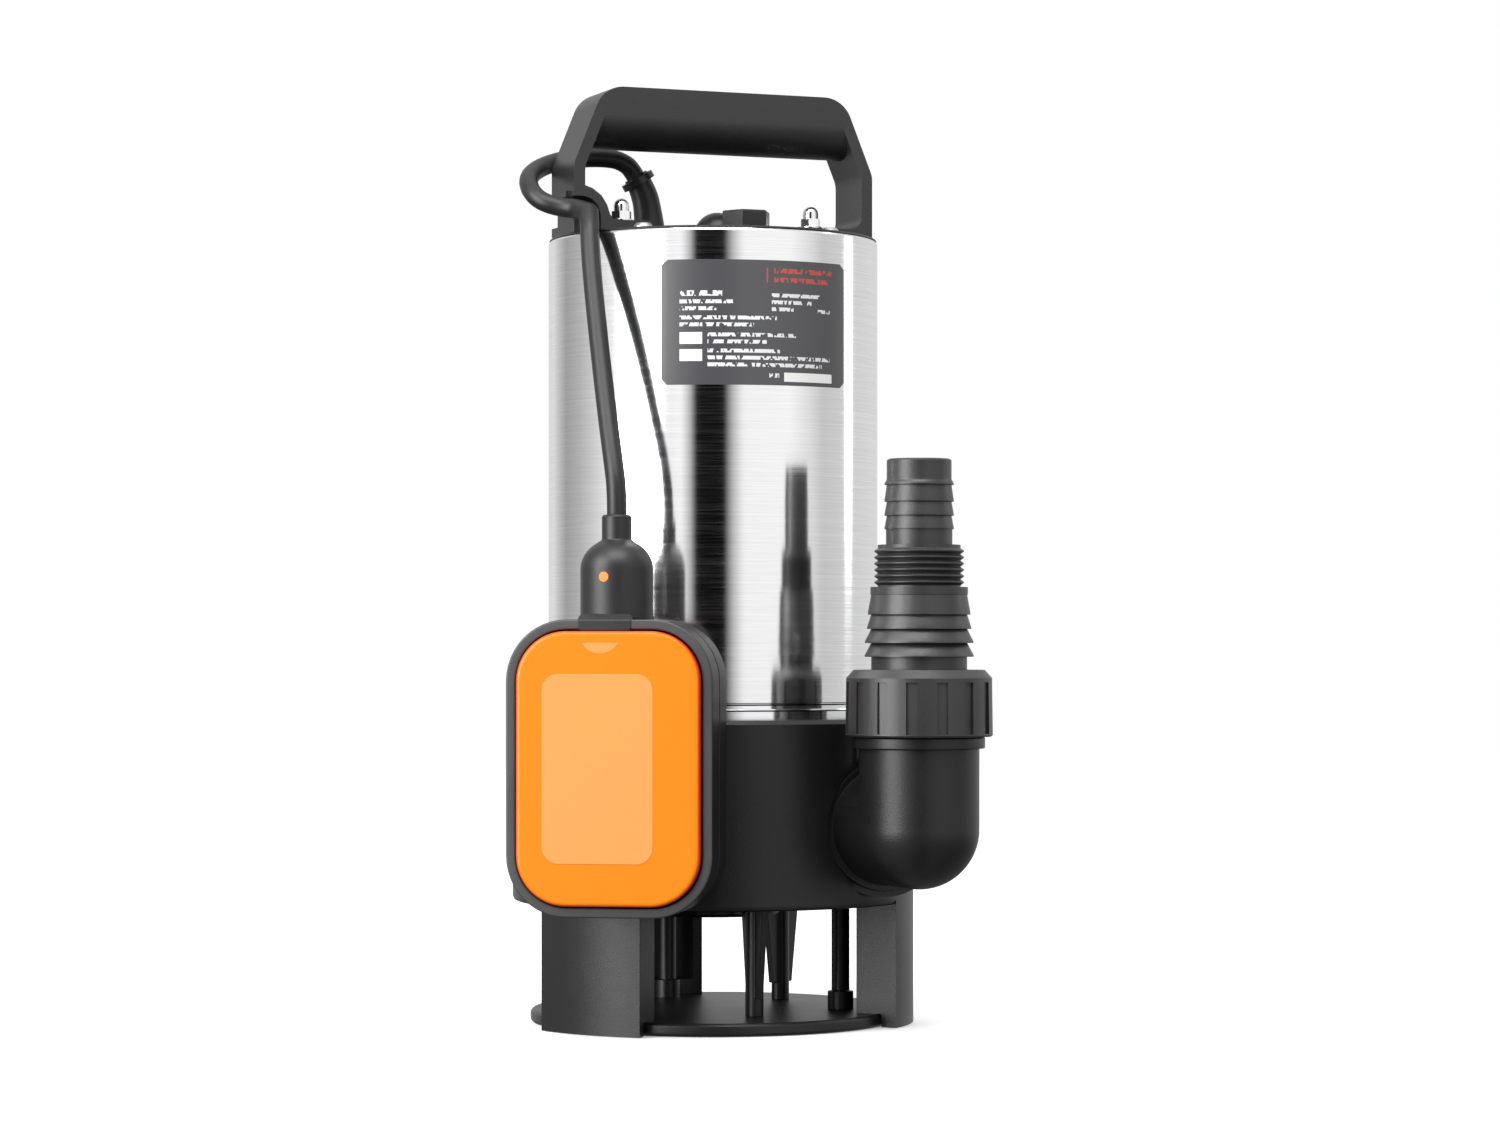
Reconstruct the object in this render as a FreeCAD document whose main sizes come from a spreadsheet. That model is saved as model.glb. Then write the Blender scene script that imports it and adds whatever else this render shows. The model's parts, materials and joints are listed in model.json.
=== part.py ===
import FreeCAD, Part
import math
import os
import re

import Sketcher

# Submersible sump pump with a float switch, millimetres.
# Origin: on the floor, on the motor's axis. +Z up, +X along the handle, -Y towards the discharge side.

V = FreeCAD.Vector
X_AXIS, Y_AXIS, Z_AXIS = V(1, 0, 0), V(0, 1, 0), V(0, 0, 1)

DIMENSIONS = {
    # base plate, legs and suction side
    "plate_radius": 71, "plate_thick": 5, "socket_radius": 5, "socket_top": 12,
    "leg_inner": 61, "leg_foot": 71.5, "leg_half_angle": 18, "leg_wall": 4, "leg_lip": 3.7,
    "post_ring": 43, "post_radius": 3.5, "fin_width": 22, "fin_foot": 12, "fin_thick": 2.4,
    "stay_ring": 50, "stay_radius": 3.5,
    "inlet_radius": 26, "inlet_bore": 20, "inlet_bottom": 41.5,
    # pump housing
    "housing_radius": 78, "housing_bottom": 47, "housing_top": 118,
    "chamber_radius": 66, "chamber_floor": 52, "chamber_top": 100,
    "rebate_radius": 70.3, "spigot_radius": 62.4, "spigot_top": 126,
    "oil_radius": 40, "oil_floor": 108, "seat_radius": 13, "seat_floor": 102,
    # motor casing
    "shell_radius": 64, "shell_wall": 1.2, "shell_top": 302.5, "lip_radius": 66, "lip_height": 3.5,
    "lid_under": 293, "lid_top": 303, "lid_radius": 62.5, "rim_radius": 63.7,
    # motor
    "stack_bottom": 165, "stack_top": 245, "stator_radius": 48, "stator_bore": 25,
    "sleeve_radius": 49.6, "rotor_radius": 24.6, "shaft_radius": 8, "journal_radius": 6,
    "race_radius": 16, "race_bore": 8.6, "race_lip": 13.4, "race_width": 10, "ball_radius": 2.3, "ball_ring": 11,
    "can_radius": 11.5, "can_height": 276, "upper_race": 282, "lower_race": 131, "tie_ring": 52, "tie_radius": 1.9,
    # impeller
    "impeller_radius": 48, "impeller_disc": 90, "vane_bottom": 74, "hub_radius": 13,
    # discharge side
    "port_x": 41, "port_y": -104, "port_z": 78, "port_bore": 20, "boss_radius": 27, "boss_face": -72.5,
    "recess_face": -70, "flange_radius": 24.6, "flange_face": -75, "elbow_radius": 22.3, "elbow_bore": 17,
    "elbow_top": 108, "collar_radius": 24.4, "collar_top": 112, "neck_radius": 22.8, "neck_top": 126,
    "nut_radius": 27.3, "nut_top": 137, "nut_bore": 23.2, "nut_panels": 15,
    "adapter_neck": 17.75, "thread_radius": 16.6, "thread_root": 15.35, "thread_pitch": 2.309,
    "hose_radius": 12, "adapter_top": 215,
    # handle
    "handle_width": 26, "handle_foot": 62, "handle_knee": 330, "handle_shoulder": 49.7, "handle_wall": 4.5,
    "knee_round": 8, "shoulder_round": 12, "handle_top": 360, "grip_under": 337, "grip_round": 12,
    "nut_x": 39.5, "nut_y": -4, "clip_low": 307, "clip_high": 317.5, "clip_back": -5,
    # float switch
    "float_width": 76.4, "float_tall": 108.6, "float_corner": 22.5, "float_half": 19, "float_rim": 3.7,
    "float_wall": 2.2, "float_x": -67.1, "float_y": -74.1, "float_z": 101.2,
    "boot_radius": 13.4, "boot_top": 184, "neck_sleeve": 5.5, "neck_sleeve_top": 194,
    "cable_radius": 3.65, "guide_radius": 5.5,
    "track_bore": 7.4, "track_radius": 9.4, "roller_radius": 7.2,
}

LEG_ANGLES = (-30, 90, 210)
POST_ANGLES = (-90, 30, 150)
TIE_ANGLES = (-142, -52, 38, 128)
FLOAT_TURN = FreeCAD.Rotation(Z_AXIS, -31) * FreeCAD.Rotation(X_AXIS, 90)
TOWARDS_PORT = FreeCAD.Rotation(X_AXIS, 90)

# The float's cable, as hand-chosen route points: inside its guide, then behind and round the handle's
# left leg into the clip, then from the clip down to the float.
GUIDE_ROUTE = [(-17.8, 22.5, 306.42), (-18.3, 22.9, 315.5), (-20, 23.6, 324.6), (-23.4, 23.9, 330.2)]
CABLE_LOOP = [
    (-23.4, 23.9, 330.2), (-25.202, 24.059, 333.168), (-27.95, 24.3, 335.3), (-32.2, 24.6, 336.8),
    (-41, 25, 337), (-54, 22.8, 335.2), (-66, 16.5, 331), (-73.8, 7.5, 325.7), (-75.8, -2, 319.5),
    (-73, -7.5, 315), (-66, -10.8, 312.8), (-61.6, -15, 312.3), (-60.7, -20.2, 311),
]
CLIP_PIVOT = (-60, -24, 310)
CABLE_DROP = [
    CLIP_PIVOT, (-61.6, -29.2, 305), (-62.7, -32.8, 297), (-63.8, -39, 282), (-65.1, -50, 257),
    (-66.4, -62, 231), (-67.1, -70.6, 213), (-67.1, -74.1, 203), (-67.1, -74.1, 194.02),
]

doc = FreeCAD.newDocument("sump_pump")
sheet = doc.addObject("Spreadsheet::Sheet", "Dims")
for row, (alias, number) in enumerate(DIMENSIONS.items(), start=1):
    sheet.set("A%d" % row, alias)
    sheet.set("B%d" % row, str(number))
    sheet.setAlias("B%d" % row, alias)
doc.recompute()

subparts = []


def value(expression):
    """The number that an expression of the sheet's aliases has now."""
    return float(sheet.evalExpression(str(expression)))


def bound(expression):
    """The same expression, as other objects of the document write it."""
    names = lambda word: "Dims." + word.group() if word.group() in DIMENSIONS else word.group()
    return re.sub(r"[a-z_][a-z0-9_]*", names, str(expression))


def place(item, at=(0, 0, 0), turn=None):
    """Binds an object's position to the sheet, with an optional turn."""
    item.Placement = FreeCAD.Placement(V(*[value(part) for part in at]), turn or FreeCAD.Rotation())
    for letter, part in zip("xyz", at):
        if isinstance(part, str):
            item.setExpression("Placement.Base." + letter, bound(part))
    return item


def piece(item, label):
    """Names a finished sub-part and puts it on the list of files."""
    item.Label = label
    subparts.append(item)
    return item


def solid(kind, at=(0, 0, 0), turn=None, **sizes):
    """A Part primitive whose sizes are expressions of the sheet."""
    item = doc.addObject("Part::" + kind, kind.lower())
    for size, expression in sizes.items():
        item.setExpression(size, bound(expression))
    return place(item, at, turn)


def rod(radius, low, high, x=0, y=0):
    """An upright cylinder between two heights."""
    return solid("Cylinder", (x, y, low), Radius=radius, Height="(%s) - (%s)" % (high, low))


def rod_y(radius, near, far, x=0, z=0):
    """A level cylinder that runs towards -Y, from y = near to y = far."""
    return solid("Cylinder", (x, near, z), TOWARDS_PORT, Radius=radius, Height="(%s) - (%s)" % (near, far))


def block(x, y, z, turn=None):
    """A box between two corners, given as three pairs."""
    return solid("Box", (x[0], y[0], z[0]), turn, Length="(%s) - (%s)" % (x[1], x[0]),
                 Width="(%s) - (%s)" % (y[1], y[0]), Height="(%s) - (%s)" % (z[1], z[0]))


def fused(*items):
    """One solid from several."""
    item = doc.addObject("Part::MultiFuse", "fuse")
    item.Shapes = list(items)
    item.Refine = True
    doc.recompute()
    return item


def cut(base, *tools):
    """The base without its tools."""
    item = doc.addObject("Part::Cut", "cut")
    item.Base = base
    item.Tool = tools[0] if len(tools) == 1 else fused(*tools)
    item.Refine = True
    doc.recompute()
    return item


def common(first, second):
    """The space that both items fill."""
    item = doc.addObject("Part::Common", "common")
    item.Base, item.Tool = first, second
    doc.recompute()
    return item


def copy_of(item, shift=(0, 0, 0), turn=None):
    """A linked copy of an item, moved and turned about the origin."""
    link = doc.addObject("App::Link", "copy")
    link.LinkedObject = item
    link.Placement = FreeCAD.Placement(V(*shift), turn or FreeCAD.Rotation()).multiply(item.Placement)
    return link


def group(label, *items):
    """Identical loose pieces that share one node."""
    item = doc.addObject("Part::Compound", "group")
    item.Links = list(items)
    return piece(item, label)


def around(item, angles):
    """Copies of an item at several angles about the motor's axis."""
    return [copy_of(item, turn=FreeCAD.Rotation(Z_AXIS, angle)) for angle in angles]


def plane(body, role):
    """One of a body's own origin planes."""
    return next(item for item in body.Origin.OriginFeatures if item.Role == role)


def sketch(body, role, loops, lift=0):
    """A fully dimensioned sketch of closed outlines, each a list of (across, up) expressions."""
    drawing = body.newObject("Sketcher::SketchObject", "outline")
    drawing.AttachmentSupport = [(plane(body, role), "")]
    drawing.MapMode = "FlatFace"
    if lift:
        drawing.AttachmentOffset = FreeCAD.Placement(V(0, 0, value(lift)), FreeCAD.Rotation())
        drawing.setExpression("AttachmentOffset.Base.z", bound(lift))
    for outline in loops:
        first = drawing.GeometryCount
        spots = [V(value(across), value(up), 0) for across, up in outline]
        for spot, following in zip(spots, spots[1:] + spots[:1]):
            drawing.addGeometry(Part.LineSegment(spot, following))
        for index, (across, up) in enumerate(outline):
            line, after = first + index, first + (index + 1) % len(outline)
            drawing.addConstraint(Sketcher.Constraint("Coincident", line, 2, after, 1))
            for way, expression, number in (("DistanceX", across, spots[index].x), ("DistanceY", up, spots[index].y)):
                rule = drawing.addConstraint(Sketcher.Constraint(way, -1, 1, line, 1, number))
                if isinstance(expression, str):
                    drawing.setExpression("Constraints[%d]" % rule, bound(expression))
    return drawing


def turned(outline, at=(0, 0, 0), turn=None):
    """A body turned about its own Z axis from an outline of (radius, height) points."""
    body = doc.addObject("PartDesign::Body", "turned")
    drawing = sketch(body, "XZ_Plane", [outline])
    feature = body.newObject("PartDesign::Revolution", "revolution")
    feature.Profile = drawing
    feature.ReferenceAxis = (drawing, ["V_Axis"])
    feature.Angle = 360
    doc.recompute()
    return place(body, at, turn)


def padded(body, role, loops, length, lift=0, middle=False):
    """Adds a pad to a body, or to a new one."""
    body = body or doc.addObject("PartDesign::Body", "padded")
    feature = body.newObject("PartDesign::Pad", "pad")
    feature.Profile = sketch(body, role, loops, lift)
    feature.setExpression("Length", bound(length))
    if middle:
        feature.SideType = "Symmetric"
    doc.recompute()
    return body


def patterned(body, count):
    """Repeats a body's last feature about its Z axis."""
    feature = body.newObject("PartDesign::PolarPattern", "pattern")
    feature.Originals = [body.Tip if body.Tip is not feature else body.Group[-2]]
    feature.Axis = (next(item for item in body.Origin.OriginFeatures if item.Role == "Z_Axis"), [""])
    feature.Angle = 360
    feature.Occurrences = int(value(count))
    body.Tip = feature
    doc.recompute()
    return body


def ring(inner, outer, low, high, x=0, y=0):
    """A plain turned ring."""
    return turned([(inner, low), (outer, low), (outer, high), (inner, high)], (x, y, 0))


def o_ring(radius, wire, at, turn=None):
    """A rubber ring of round section."""
    return solid("Torus", at, turn, Radius1=radius, Radius2=wire)


def ngon(sides, across_flats, low, high, x=0, y=0):
    """A prism with flats, such as a nut's."""
    item = solid("Prism", (x, y, low), Circumradius="(%s) / 2 / cos(180 / %d)" % (across_flats, sides),
                 Height="(%s) - (%s)" % (high, low))
    item.Polygon = sides
    return item


def rounded(item, radius, wanted):
    """Fillets the edges of an item whose middle point the test accepts."""
    doc.recompute()
    feature = doc.addObject("Part::Fillet", "fillet")
    feature.Base = item
    size = value(radius)
    feature.Edges = [
        (number, size, size) for number, edge in enumerate(item.Shape.Edges, start=1)
        if wanted(edge, edge.valueAt((edge.FirstParameter + edge.LastParameter) / 2))
    ]
    doc.recompute()
    return feature


def tube_along(points, size, label):
    """A round cable along straight runs joined by tangent arcs, with its radii printed."""
    spots = [V(*point) for point in points]
    radius = value(size)
    edges, radii, start = [], [], spots[0]
    for before, corner, after in zip(spots, spots[1:], spots[2:]):
        back, on = (before - corner), (after - corner)
        trim = 0.45 * min(back.Length, on.Length)
        turn = math.pi - back.getAngle(on)
        radii.append(trim / math.tan(turn / 2))
        entry = corner + back.normalize() * trim
        leave = corner + on.normalize() * trim
        middle_way = (entry + leave) * 0.5 - corner
        rise = radii[-1] / math.cos(turn / 2) - radii[-1]
        middle = corner + middle_way.normalize() * rise
        edges.append(Part.LineSegment(start, entry).toShape())
        edges.append(Part.Arc(entry, middle, leave).toShape())
        start = leave
    edges.append(Part.LineSegment(start, spots[-1]).toShape())
    path = Part.Wire(edges)
    section = Part.Wire([Part.Circle(spots[0], spots[1] - spots[0], radius).toShape()])
    item = doc.addObject("Part::Feature", "tube")
    item.Shape = path.makePipeShell([section], True, False)
    item.Placement = FreeCAD.Placement()
    expected = math.pi * radius ** 2 * path.Length
    print("%s: length %.1f, radii %s, volume %.4f of section x length"
          % (label, path.Length, [round(size, 1) for size in radii], item.Shape.Volume / expected))
    return piece(item, label)


def motor_casing():
    """The stainless shell, its lid, the seals and the long screws that clamp them to the housing."""
    inside = "shell_radius - shell_wall"
    lip = "housing_top + lip_height"
    shell = [
        (inside, "housing_top"), ("lip_radius", "housing_top"), ("lip_radius", lip),
        ("shell_radius", lip + " + 0.6"), ("shell_radius", lip + " + 1.9"), ("shell_radius - 0.4", lip + " + 2.2"),
        ("shell_radius - 0.4", lip + " + 2.6"), ("shell_radius", lip + " + 2.9"),
        ("shell_radius", "shell_top - 0.8"), ("shell_radius - 0.5", "shell_top"), (inside, "shell_top"),
    ]
    piece(turned(shell), "motor_shell")
    bearing_seat = "upper_race + race_width"
    lid = turned([
        (0, "lid_under + 3"), ("race_radius - 3", "lid_under + 3"), ("race_radius - 3", bearing_seat),
        ("race_radius", bearing_seat), ("race_radius", "upper_race"), ("race_radius + 4", "upper_race"),
        ("race_radius + 5", "lid_under"), ("lid_radius", "lid_under"), ("lid_radius", "lid_under + 2.5"),
        ("lid_radius - 2.4", "lid_under + 2.5"), ("lid_radius - 2.4", "lid_under + 5.5"),
        ("lid_radius", "lid_under + 5.5"), ("lid_radius", "shell_top + 0.1"), ("rim_radius", "shell_top + 0.1"),
        ("rim_radius", "lid_top"), ("rim_radius - 0.6", "lid_top + 0.5"), ("rim_radius - 3", "lid_top + 0.5"),
        ("rim_radius - 3.6", "lid_top"), (0, "lid_top"),
    ])
    hole = rod("tie_radius + 0.2", "lid_under - 1", "lid_top + 1", "tie_ring")
    stud_holes = [rod(2, "lid_top - 6", "lid_top + 1", sign + "nut_x", "nut_y") for sign in ("", "-")]
    gland_hole = rod(6.05, "lid_under - 1", "lid_top + 1", 5.8, -20)
    float_hole = rod(4.05, "lid_under - 1", "lid_top + 1", -17.5, 22)
    piece(cut(lid, *around(hole, TIE_ANGLES), *stud_holes, gland_hole, float_hole), "motor_lid")
    piece(o_ring("lid_radius - 1.05", 1.3, (0, 0, "lid_under + 4")), "lid_seal")
    screw = turned([
        (0, "oil_floor + 4"), ("tie_radius - 0.6", "oil_floor + 4"), ("tie_radius", "oil_floor + 6"),
        ("tie_radius", "lid_top"), (3.8, "lid_top"), (3.8, "lid_top + 1.6"), (2.6, "lid_top + 3"),
        (1.4, "lid_top + 3"), (1.1, "lid_top + 1.4"), (0, "lid_top + 1.4"),
    ], ("tie_ring", 0, 0))
    group("lid_tie_screws", *around(screw, TIE_ANGLES))
    label_ring = ring("shell_radius + 0.03", "shell_radius + 0.28", 230, 300)
    window = padded(None, "XZ_Plane", [[(-36, 245.6), (-34, 243.6), (34, 243.6), (36, 245.6), (36, 288.5), (34, 290.5),
                                        (-34, 290.5), (-36, 288.5)]], "shell_radius * 2")
    place(window, (0, 0, 0), FreeCAD.Rotation(Z_AXIS, -5))
    piece(common(label_ring, window), "rating_label")


def motor():
    """Stator, rotor, shaft, bearings and capacitor."""
    stack = "stack_top - stack_bottom"
    core = turned([("stator_bore", "stack_bottom"), ("stator_radius", "stack_bottom"),
                   ("stator_radius", "stack_top"), ("stator_bore", "stack_top")])
    slot = core.newObject("PartDesign::Pocket", "slot")
    slot.Profile = sketch(core, "XY_Plane", [[("stator_bore - 1", -1.1), ("stator_bore + 2", -1.1),
                                              ("stator_bore + 3", -2.2), ("stator_bore + 15", -3.6),
                                              ("stator_bore + 15", 3.6), ("stator_bore + 3", 2.2),
                                              ("stator_bore + 2", 1.1), ("stator_bore - 1", 1.1)]], "stack_top")
    slot.setExpression("Length", bound(stack))
    doc.recompute()
    piece(patterned(core, 16), "stator_core")
    piece(ring("stator_radius + 0.05", "sleeve_radius", "stack_bottom - 22.5", "stack_top + 6"), "stator_sleeve")
    end_turn = [("stator_bore + 4", 0.3), ("stator_bore + 17", 0.3), ("stator_bore + 20", 6),
                ("stator_bore + 17", 14), ("stator_bore + 8", 16), ("stator_bore + 3", 9)]
    upper = turned(end_turn, (0, 0, "stack_top"))
    lower = turned([(across, -up) for across, up in end_turn], (0, 0, "stack_bottom"))
    group("stator_windings", upper, lower)
    piece(ring("shaft_radius + 0.02", "rotor_radius", "stack_bottom", "stack_top"), "rotor_core")
    end_ring = [("shaft_radius + 6", 0.02), ("rotor_radius - 0.6", 0.02), ("rotor_radius - 1.2", 6),
                ("shaft_radius + 7", 6)]
    group("rotor_end_rings", turned(end_ring, (0, 0, "stack_top")),
          turned([(across, -up) for across, up in end_ring], (0, 0, "stack_bottom")))
    shaft = turned([
        (0, 60), (3.6, 60), (4, 60.6), (4, "vane_bottom + 4"), (5, "vane_bottom + 4"), (5, "impeller_disc + 7"),
        ("journal_radius", "impeller_disc + 7"), ("journal_radius", 146), ("shaft_radius", 146),
        ("shaft_radius", 268), ("journal_radius", 268), ("journal_radius", 292.4), ("journal_radius - 0.6", 293),
        (0, 293),
    ])
    piece(shaft, "motor_shaft")
    inner = ring("journal_radius + 0.01", "race_bore", 0, "race_width")
    outer = ring("race_lip", "race_radius - 0.01", 0, "race_width")
    group("bearing_inner_rings", copy_of(inner, (0, 0, value("upper_race"))),
          copy_of(inner, (0, 0, value("lower_race"))))
    group("bearing_outer_rings", copy_of(outer, (0, 0, value("upper_race"))),
          copy_of(outer, (0, 0, value("lower_race"))))
    ball = solid("Sphere", ("ball_ring", 0, "race_width / 2"), Radius="ball_radius")
    balls = [copy_of(ball, (0, 0, value(race)), FreeCAD.Rotation(Z_AXIS, 45 * step))
             for race in ("upper_race", "lower_race") for step in range(8)]
    group("bearing_balls", *balls)
    along_x = FreeCAD.Rotation(Y_AXIS, 90)
    can = solid("Cylinder", (-23, 38, "can_height"), along_x, Radius="can_radius", Height=46)
    piece(can, "run_capacitor")
    strap = solid("Cylinder", (-7, 38, "can_height"), along_x, Radius="can_radius + 1.5", Height=14)
    tab = block((-7, 7), (32, 44), ("can_height + can_radius", "lid_under"))
    room = solid("Cylinder", (-8, 38, "can_height"), along_x, Radius="can_radius + 0.1", Height=16)
    piece(cut(fused(strap, tab), room), "capacitor_clamp")


def wet_end():
    """Bearing bracket, oil chamber seals, impeller, pump housing with its legs, suction plate and base."""
    low_seat = "lower_race + race_width"
    bracket = turned([
        ("journal_radius + 3", "spigot_top + 3.4"), ("seat_radius - 0.5", "spigot_top + 3.4"),
        ("seat_radius - 0.5", "spigot_top - 4"), ("seat_radius + 4", "spigot_top - 4"),
        ("seat_radius + 5", "spigot_top + 0.05"), ("spigot_radius", "spigot_top + 0.05"),
        ("spigot_radius", "spigot_top + 6"), ("sleeve_radius + 0.1", "spigot_top + 9"),
        ("sleeve_radius + 0.1", "stack_bottom - 22.6"), ("race_radius + 5", "stack_bottom - 22.6"),
        ("race_radius + 4", low_seat), ("race_radius", low_seat), ("race_radius", "lower_race"),
        ("journal_radius + 3", "lower_race"),
    ])
    tie_hole = rod("tie_radius + 0.15", "spigot_top - 1", 150, "tie_ring")
    piece(cut(bracket, *around(tie_hole, TIE_ANGLES)), "bearing_bracket")
    piece(turned([("journal_radius + 0.03", 122.2), ("seat_radius - 0.55", 122.2), ("seat_radius - 0.55", 129),
                  ("journal_radius + 2", 129), ("journal_radius + 2.6", 125), ("journal_radius + 0.03", 124)]),
          "oil_lip_seal")
    piece(ring("journal_radius + 1", "seat_radius - 0.02", "seat_floor", "seat_floor + 5"), "seal_seat")
    piece(ring("journal_radius + 0.03", "seat_radius - 2", "seat_floor + 5.02", "seat_floor + 9"), "seal_ring")
    folds = [("journal_radius + 0.03", "seat_floor + 9.02"), ("seat_radius - 2", "seat_floor + 9.02")]
    for turn in range(3):
        base = "seat_floor + %g" % (10.5 + 2.6 * turn)
        folds += [("seat_radius - 4", base), ("seat_radius - 2.4", base + " + 1.3")]
    folds += [("seat_radius - 4", "seat_floor + 18.4"), ("journal_radius + 0.03", "seat_floor + 18.4")]
    piece(turned(folds), "seal_bellows")

    shell = turned([
        ("rebate_radius", "housing_bottom"), ("housing_radius - 2", "housing_bottom"),
        ("housing_radius - 0.6", "housing_bottom + 0.6"), ("housing_radius", "housing_bottom + 2"),
        ("housing_radius", "housing_top - 1.5"), ("housing_radius - 1.5", "housing_top"),
        ("spigot_radius", "housing_top"), ("spigot_radius", "housing_top + 2.5"),
        ("spigot_radius - 2.4", "housing_top + 2.5"), ("spigot_radius - 2.4", "housing_top + 5.5"),
        ("spigot_radius", "housing_top + 5.5"), ("spigot_radius", "spigot_top"), ("oil_radius", "spigot_top"),
        ("oil_radius", "oil_floor"), ("seat_radius", "oil_floor"), ("seat_radius", "seat_floor"),
        ("journal_radius + 3", "seat_floor"), ("journal_radius + 3", "chamber_top"),
        ("chamber_radius", "chamber_top"), ("chamber_radius", "chamber_floor"),
        ("rebate_radius", "chamber_floor"),
    ])
    boss = rod_y("boss_radius", -40, "boss_face", "port_x", "port_z")
    legs = [copy_of(leg(), turn=FreeCAD.Rotation(Z_AXIS, angle)) for angle in LEG_ANGLES]
    body = fused(shell, boss, *legs)
    chamber = rod("chamber_radius", "chamber_floor - 6", "chamber_top")
    rebate = rod("rebate_radius", "housing_bottom - 0.1", "chamber_floor")
    port = rod_y("port_bore", -20, -110, "port_x", "port_z")
    recess = rod_y("flange_radius + 0.1", "recess_face", -95, "port_x", "port_z")
    tie_hole = rod("tie_radius + 0.05", "oil_floor + 2", "spigot_top + 1", "tie_ring")
    piece(cut(body, chamber, rebate, port, recess, *around(tie_hole, TIE_ANGLES)), "pump_housing")
    piece(o_ring("spigot_radius - 1.05", 1.3, (0, 0, "housing_top + 4")), "housing_seal")

    impeller = turned([
        (5.02, "vane_bottom + 4.02"), ("hub_radius - 4", "vane_bottom + 4.02"),
        ("hub_radius - 1", "vane_bottom + 6"), ("hub_radius + 2", "impeller_disc - 4"),
        ("impeller_radius", "impeller_disc"), ("impeller_radius", "impeller_disc + 3"),
        ("hub_radius", "impeller_disc + 4"), ("hub_radius - 2", "impeller_disc + 7"),
        (5.02, "impeller_disc + 7"),
    ])
    vane = []
    for side in (0.0, 3.0):
        edge = [(10 + 6 * step, side - 1.5 - 0.012 * (6 * step) ** 2) for step in range(7)]
        vane += edge if side else edge[::-1]
    padded(impeller, "XY_Plane", [vane], "impeller_disc - vane_bottom + 1", "vane_bottom")
    piece(patterned(impeller, 6), "impeller")
    nut = cut(ngon(6, 13, "vane_bottom - 4", "vane_bottom + 4"), rod(4.02, "vane_bottom - 5", "vane_bottom + 5"))
    piece(nut, "impeller_nut")

    plate = turned([
        ("inlet_bore", "inlet_bottom"), ("inlet_radius - 1", "inlet_bottom"),
        ("inlet_radius", "inlet_bottom + 1"), ("inlet_radius", "housing_bottom"),
        ("rebate_radius - 0.3", "housing_bottom"), ("rebate_radius - 0.3", "chamber_floor - 0.1"),
        ("inlet_bore + 3", "chamber_floor - 0.1"), ("inlet_bore", "chamber_floor - 3"),
    ])
    fin = [("-fin_foot / 2", "socket_top"), ("fin_foot / 2", "socket_top"),
           ("fin_width / 2", "housing_bottom + 1"), ("-fin_width / 2", "housing_bottom + 1")]
    fins = place(padded(None, "XZ_Plane", [fin], "fin_thick", middle=True), ("post_ring", 0, 0))
    post = fused(rod("post_radius", "plate_thick + 0.05", "housing_bottom + 1", "post_ring"), fins)
    posts = around(post, POST_ANGLES)
    stays = around(rod("stay_radius", "socket_top + 0.1", "housing_bottom + 1", "stay_ring"), LEG_ANGLES)
    screw_holes = around(rod(2.05, 0, "plate_thick + 16", "post_ring"), POST_ANGLES)
    stay_holes = around(rod(2.05, 0, "socket_top + 12", "stay_ring"), LEG_ANGLES)
    piece(cut(fused(plate, *posts, *stays), *screw_holes, *stay_holes), "suction_plate")
    small = turned([(0, 1), (3.4, 1), (3.4, 2.6), (2, 3.6), (2, "plate_thick + 14"), (0, "plate_thick + 15.5")],
                   ("post_ring", 0, 0))
    longer = turned([(0, 1), (3.4, 1), (3.4, 2.6), (2, 3.6), (2, "socket_top + 10"), (0, "socket_top + 11.5")],
                    ("stay_ring", 0, 0))
    group("base_screws", *around(small, POST_ANGLES), *around(longer, LEG_ANGLES))
    base = turned([(0, 0), ("plate_radius - 1", 0), ("plate_radius", 1), ("plate_radius", "plate_thick - 1"),
                   ("plate_radius - 1", "plate_thick"), (0, "plate_thick")])
    sockets = around(rod("socket_radius", "plate_thick - 1", "socket_top", "stay_ring"), LEG_ANGLES)
    heads = around(turned([(0, -1), (3.6, -1), (3.6, 2.7), (2.2, 3.7), (2.2, 20), (0, 20)], ("post_ring", 0, 0)),
                   POST_ANGLES)
    heads += around(turned([(0, -1), (3.6, -1), (3.6, 2.7), (2.2, 3.7), (2.2, 20), (0, 20)], ("stay_ring", 0, 0)),
                    LEG_ANGLES)
    piece(cut(fused(base, *sockets), *heads), "base_plate")


def sector(half_angle, height, low=0):
    """A wedge about +X that reaches past the housing."""
    far = 120
    side = ("%d * cos(%s)" % (far, half_angle), "%d * sin(%s)" % (far, half_angle))
    return padded(None, "XY_Plane", [[(0, 0), (side[0], "-" + side[1]), side]], height, low)


def leg():
    """One leg: a curved wall with lips over its two set-back sides, and a foot beyond the base plate."""
    top = "housing_bottom + 4"
    skin = common(ring("housing_radius - leg_lip", "housing_radius", 0, top), sector("leg_half_angle", top))
    core = common(ring("leg_inner", "housing_radius - leg_lip + 0.2", 0, top), sector("leg_half_angle - 0.7", top))
    foot = rod("leg_foot", -1, "plate_thick + 0.05")
    behind = rod("rebate_radius + 0.05", "housing_bottom - 0.1", 60)
    hollow = common(sector("leg_half_angle - 4", 60, "plate_thick + 6"),
                    rod("housing_radius - leg_wall", 0, "housing_bottom - 3"))
    return cut(fused(skin, core), foot, behind, hollow)


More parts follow.
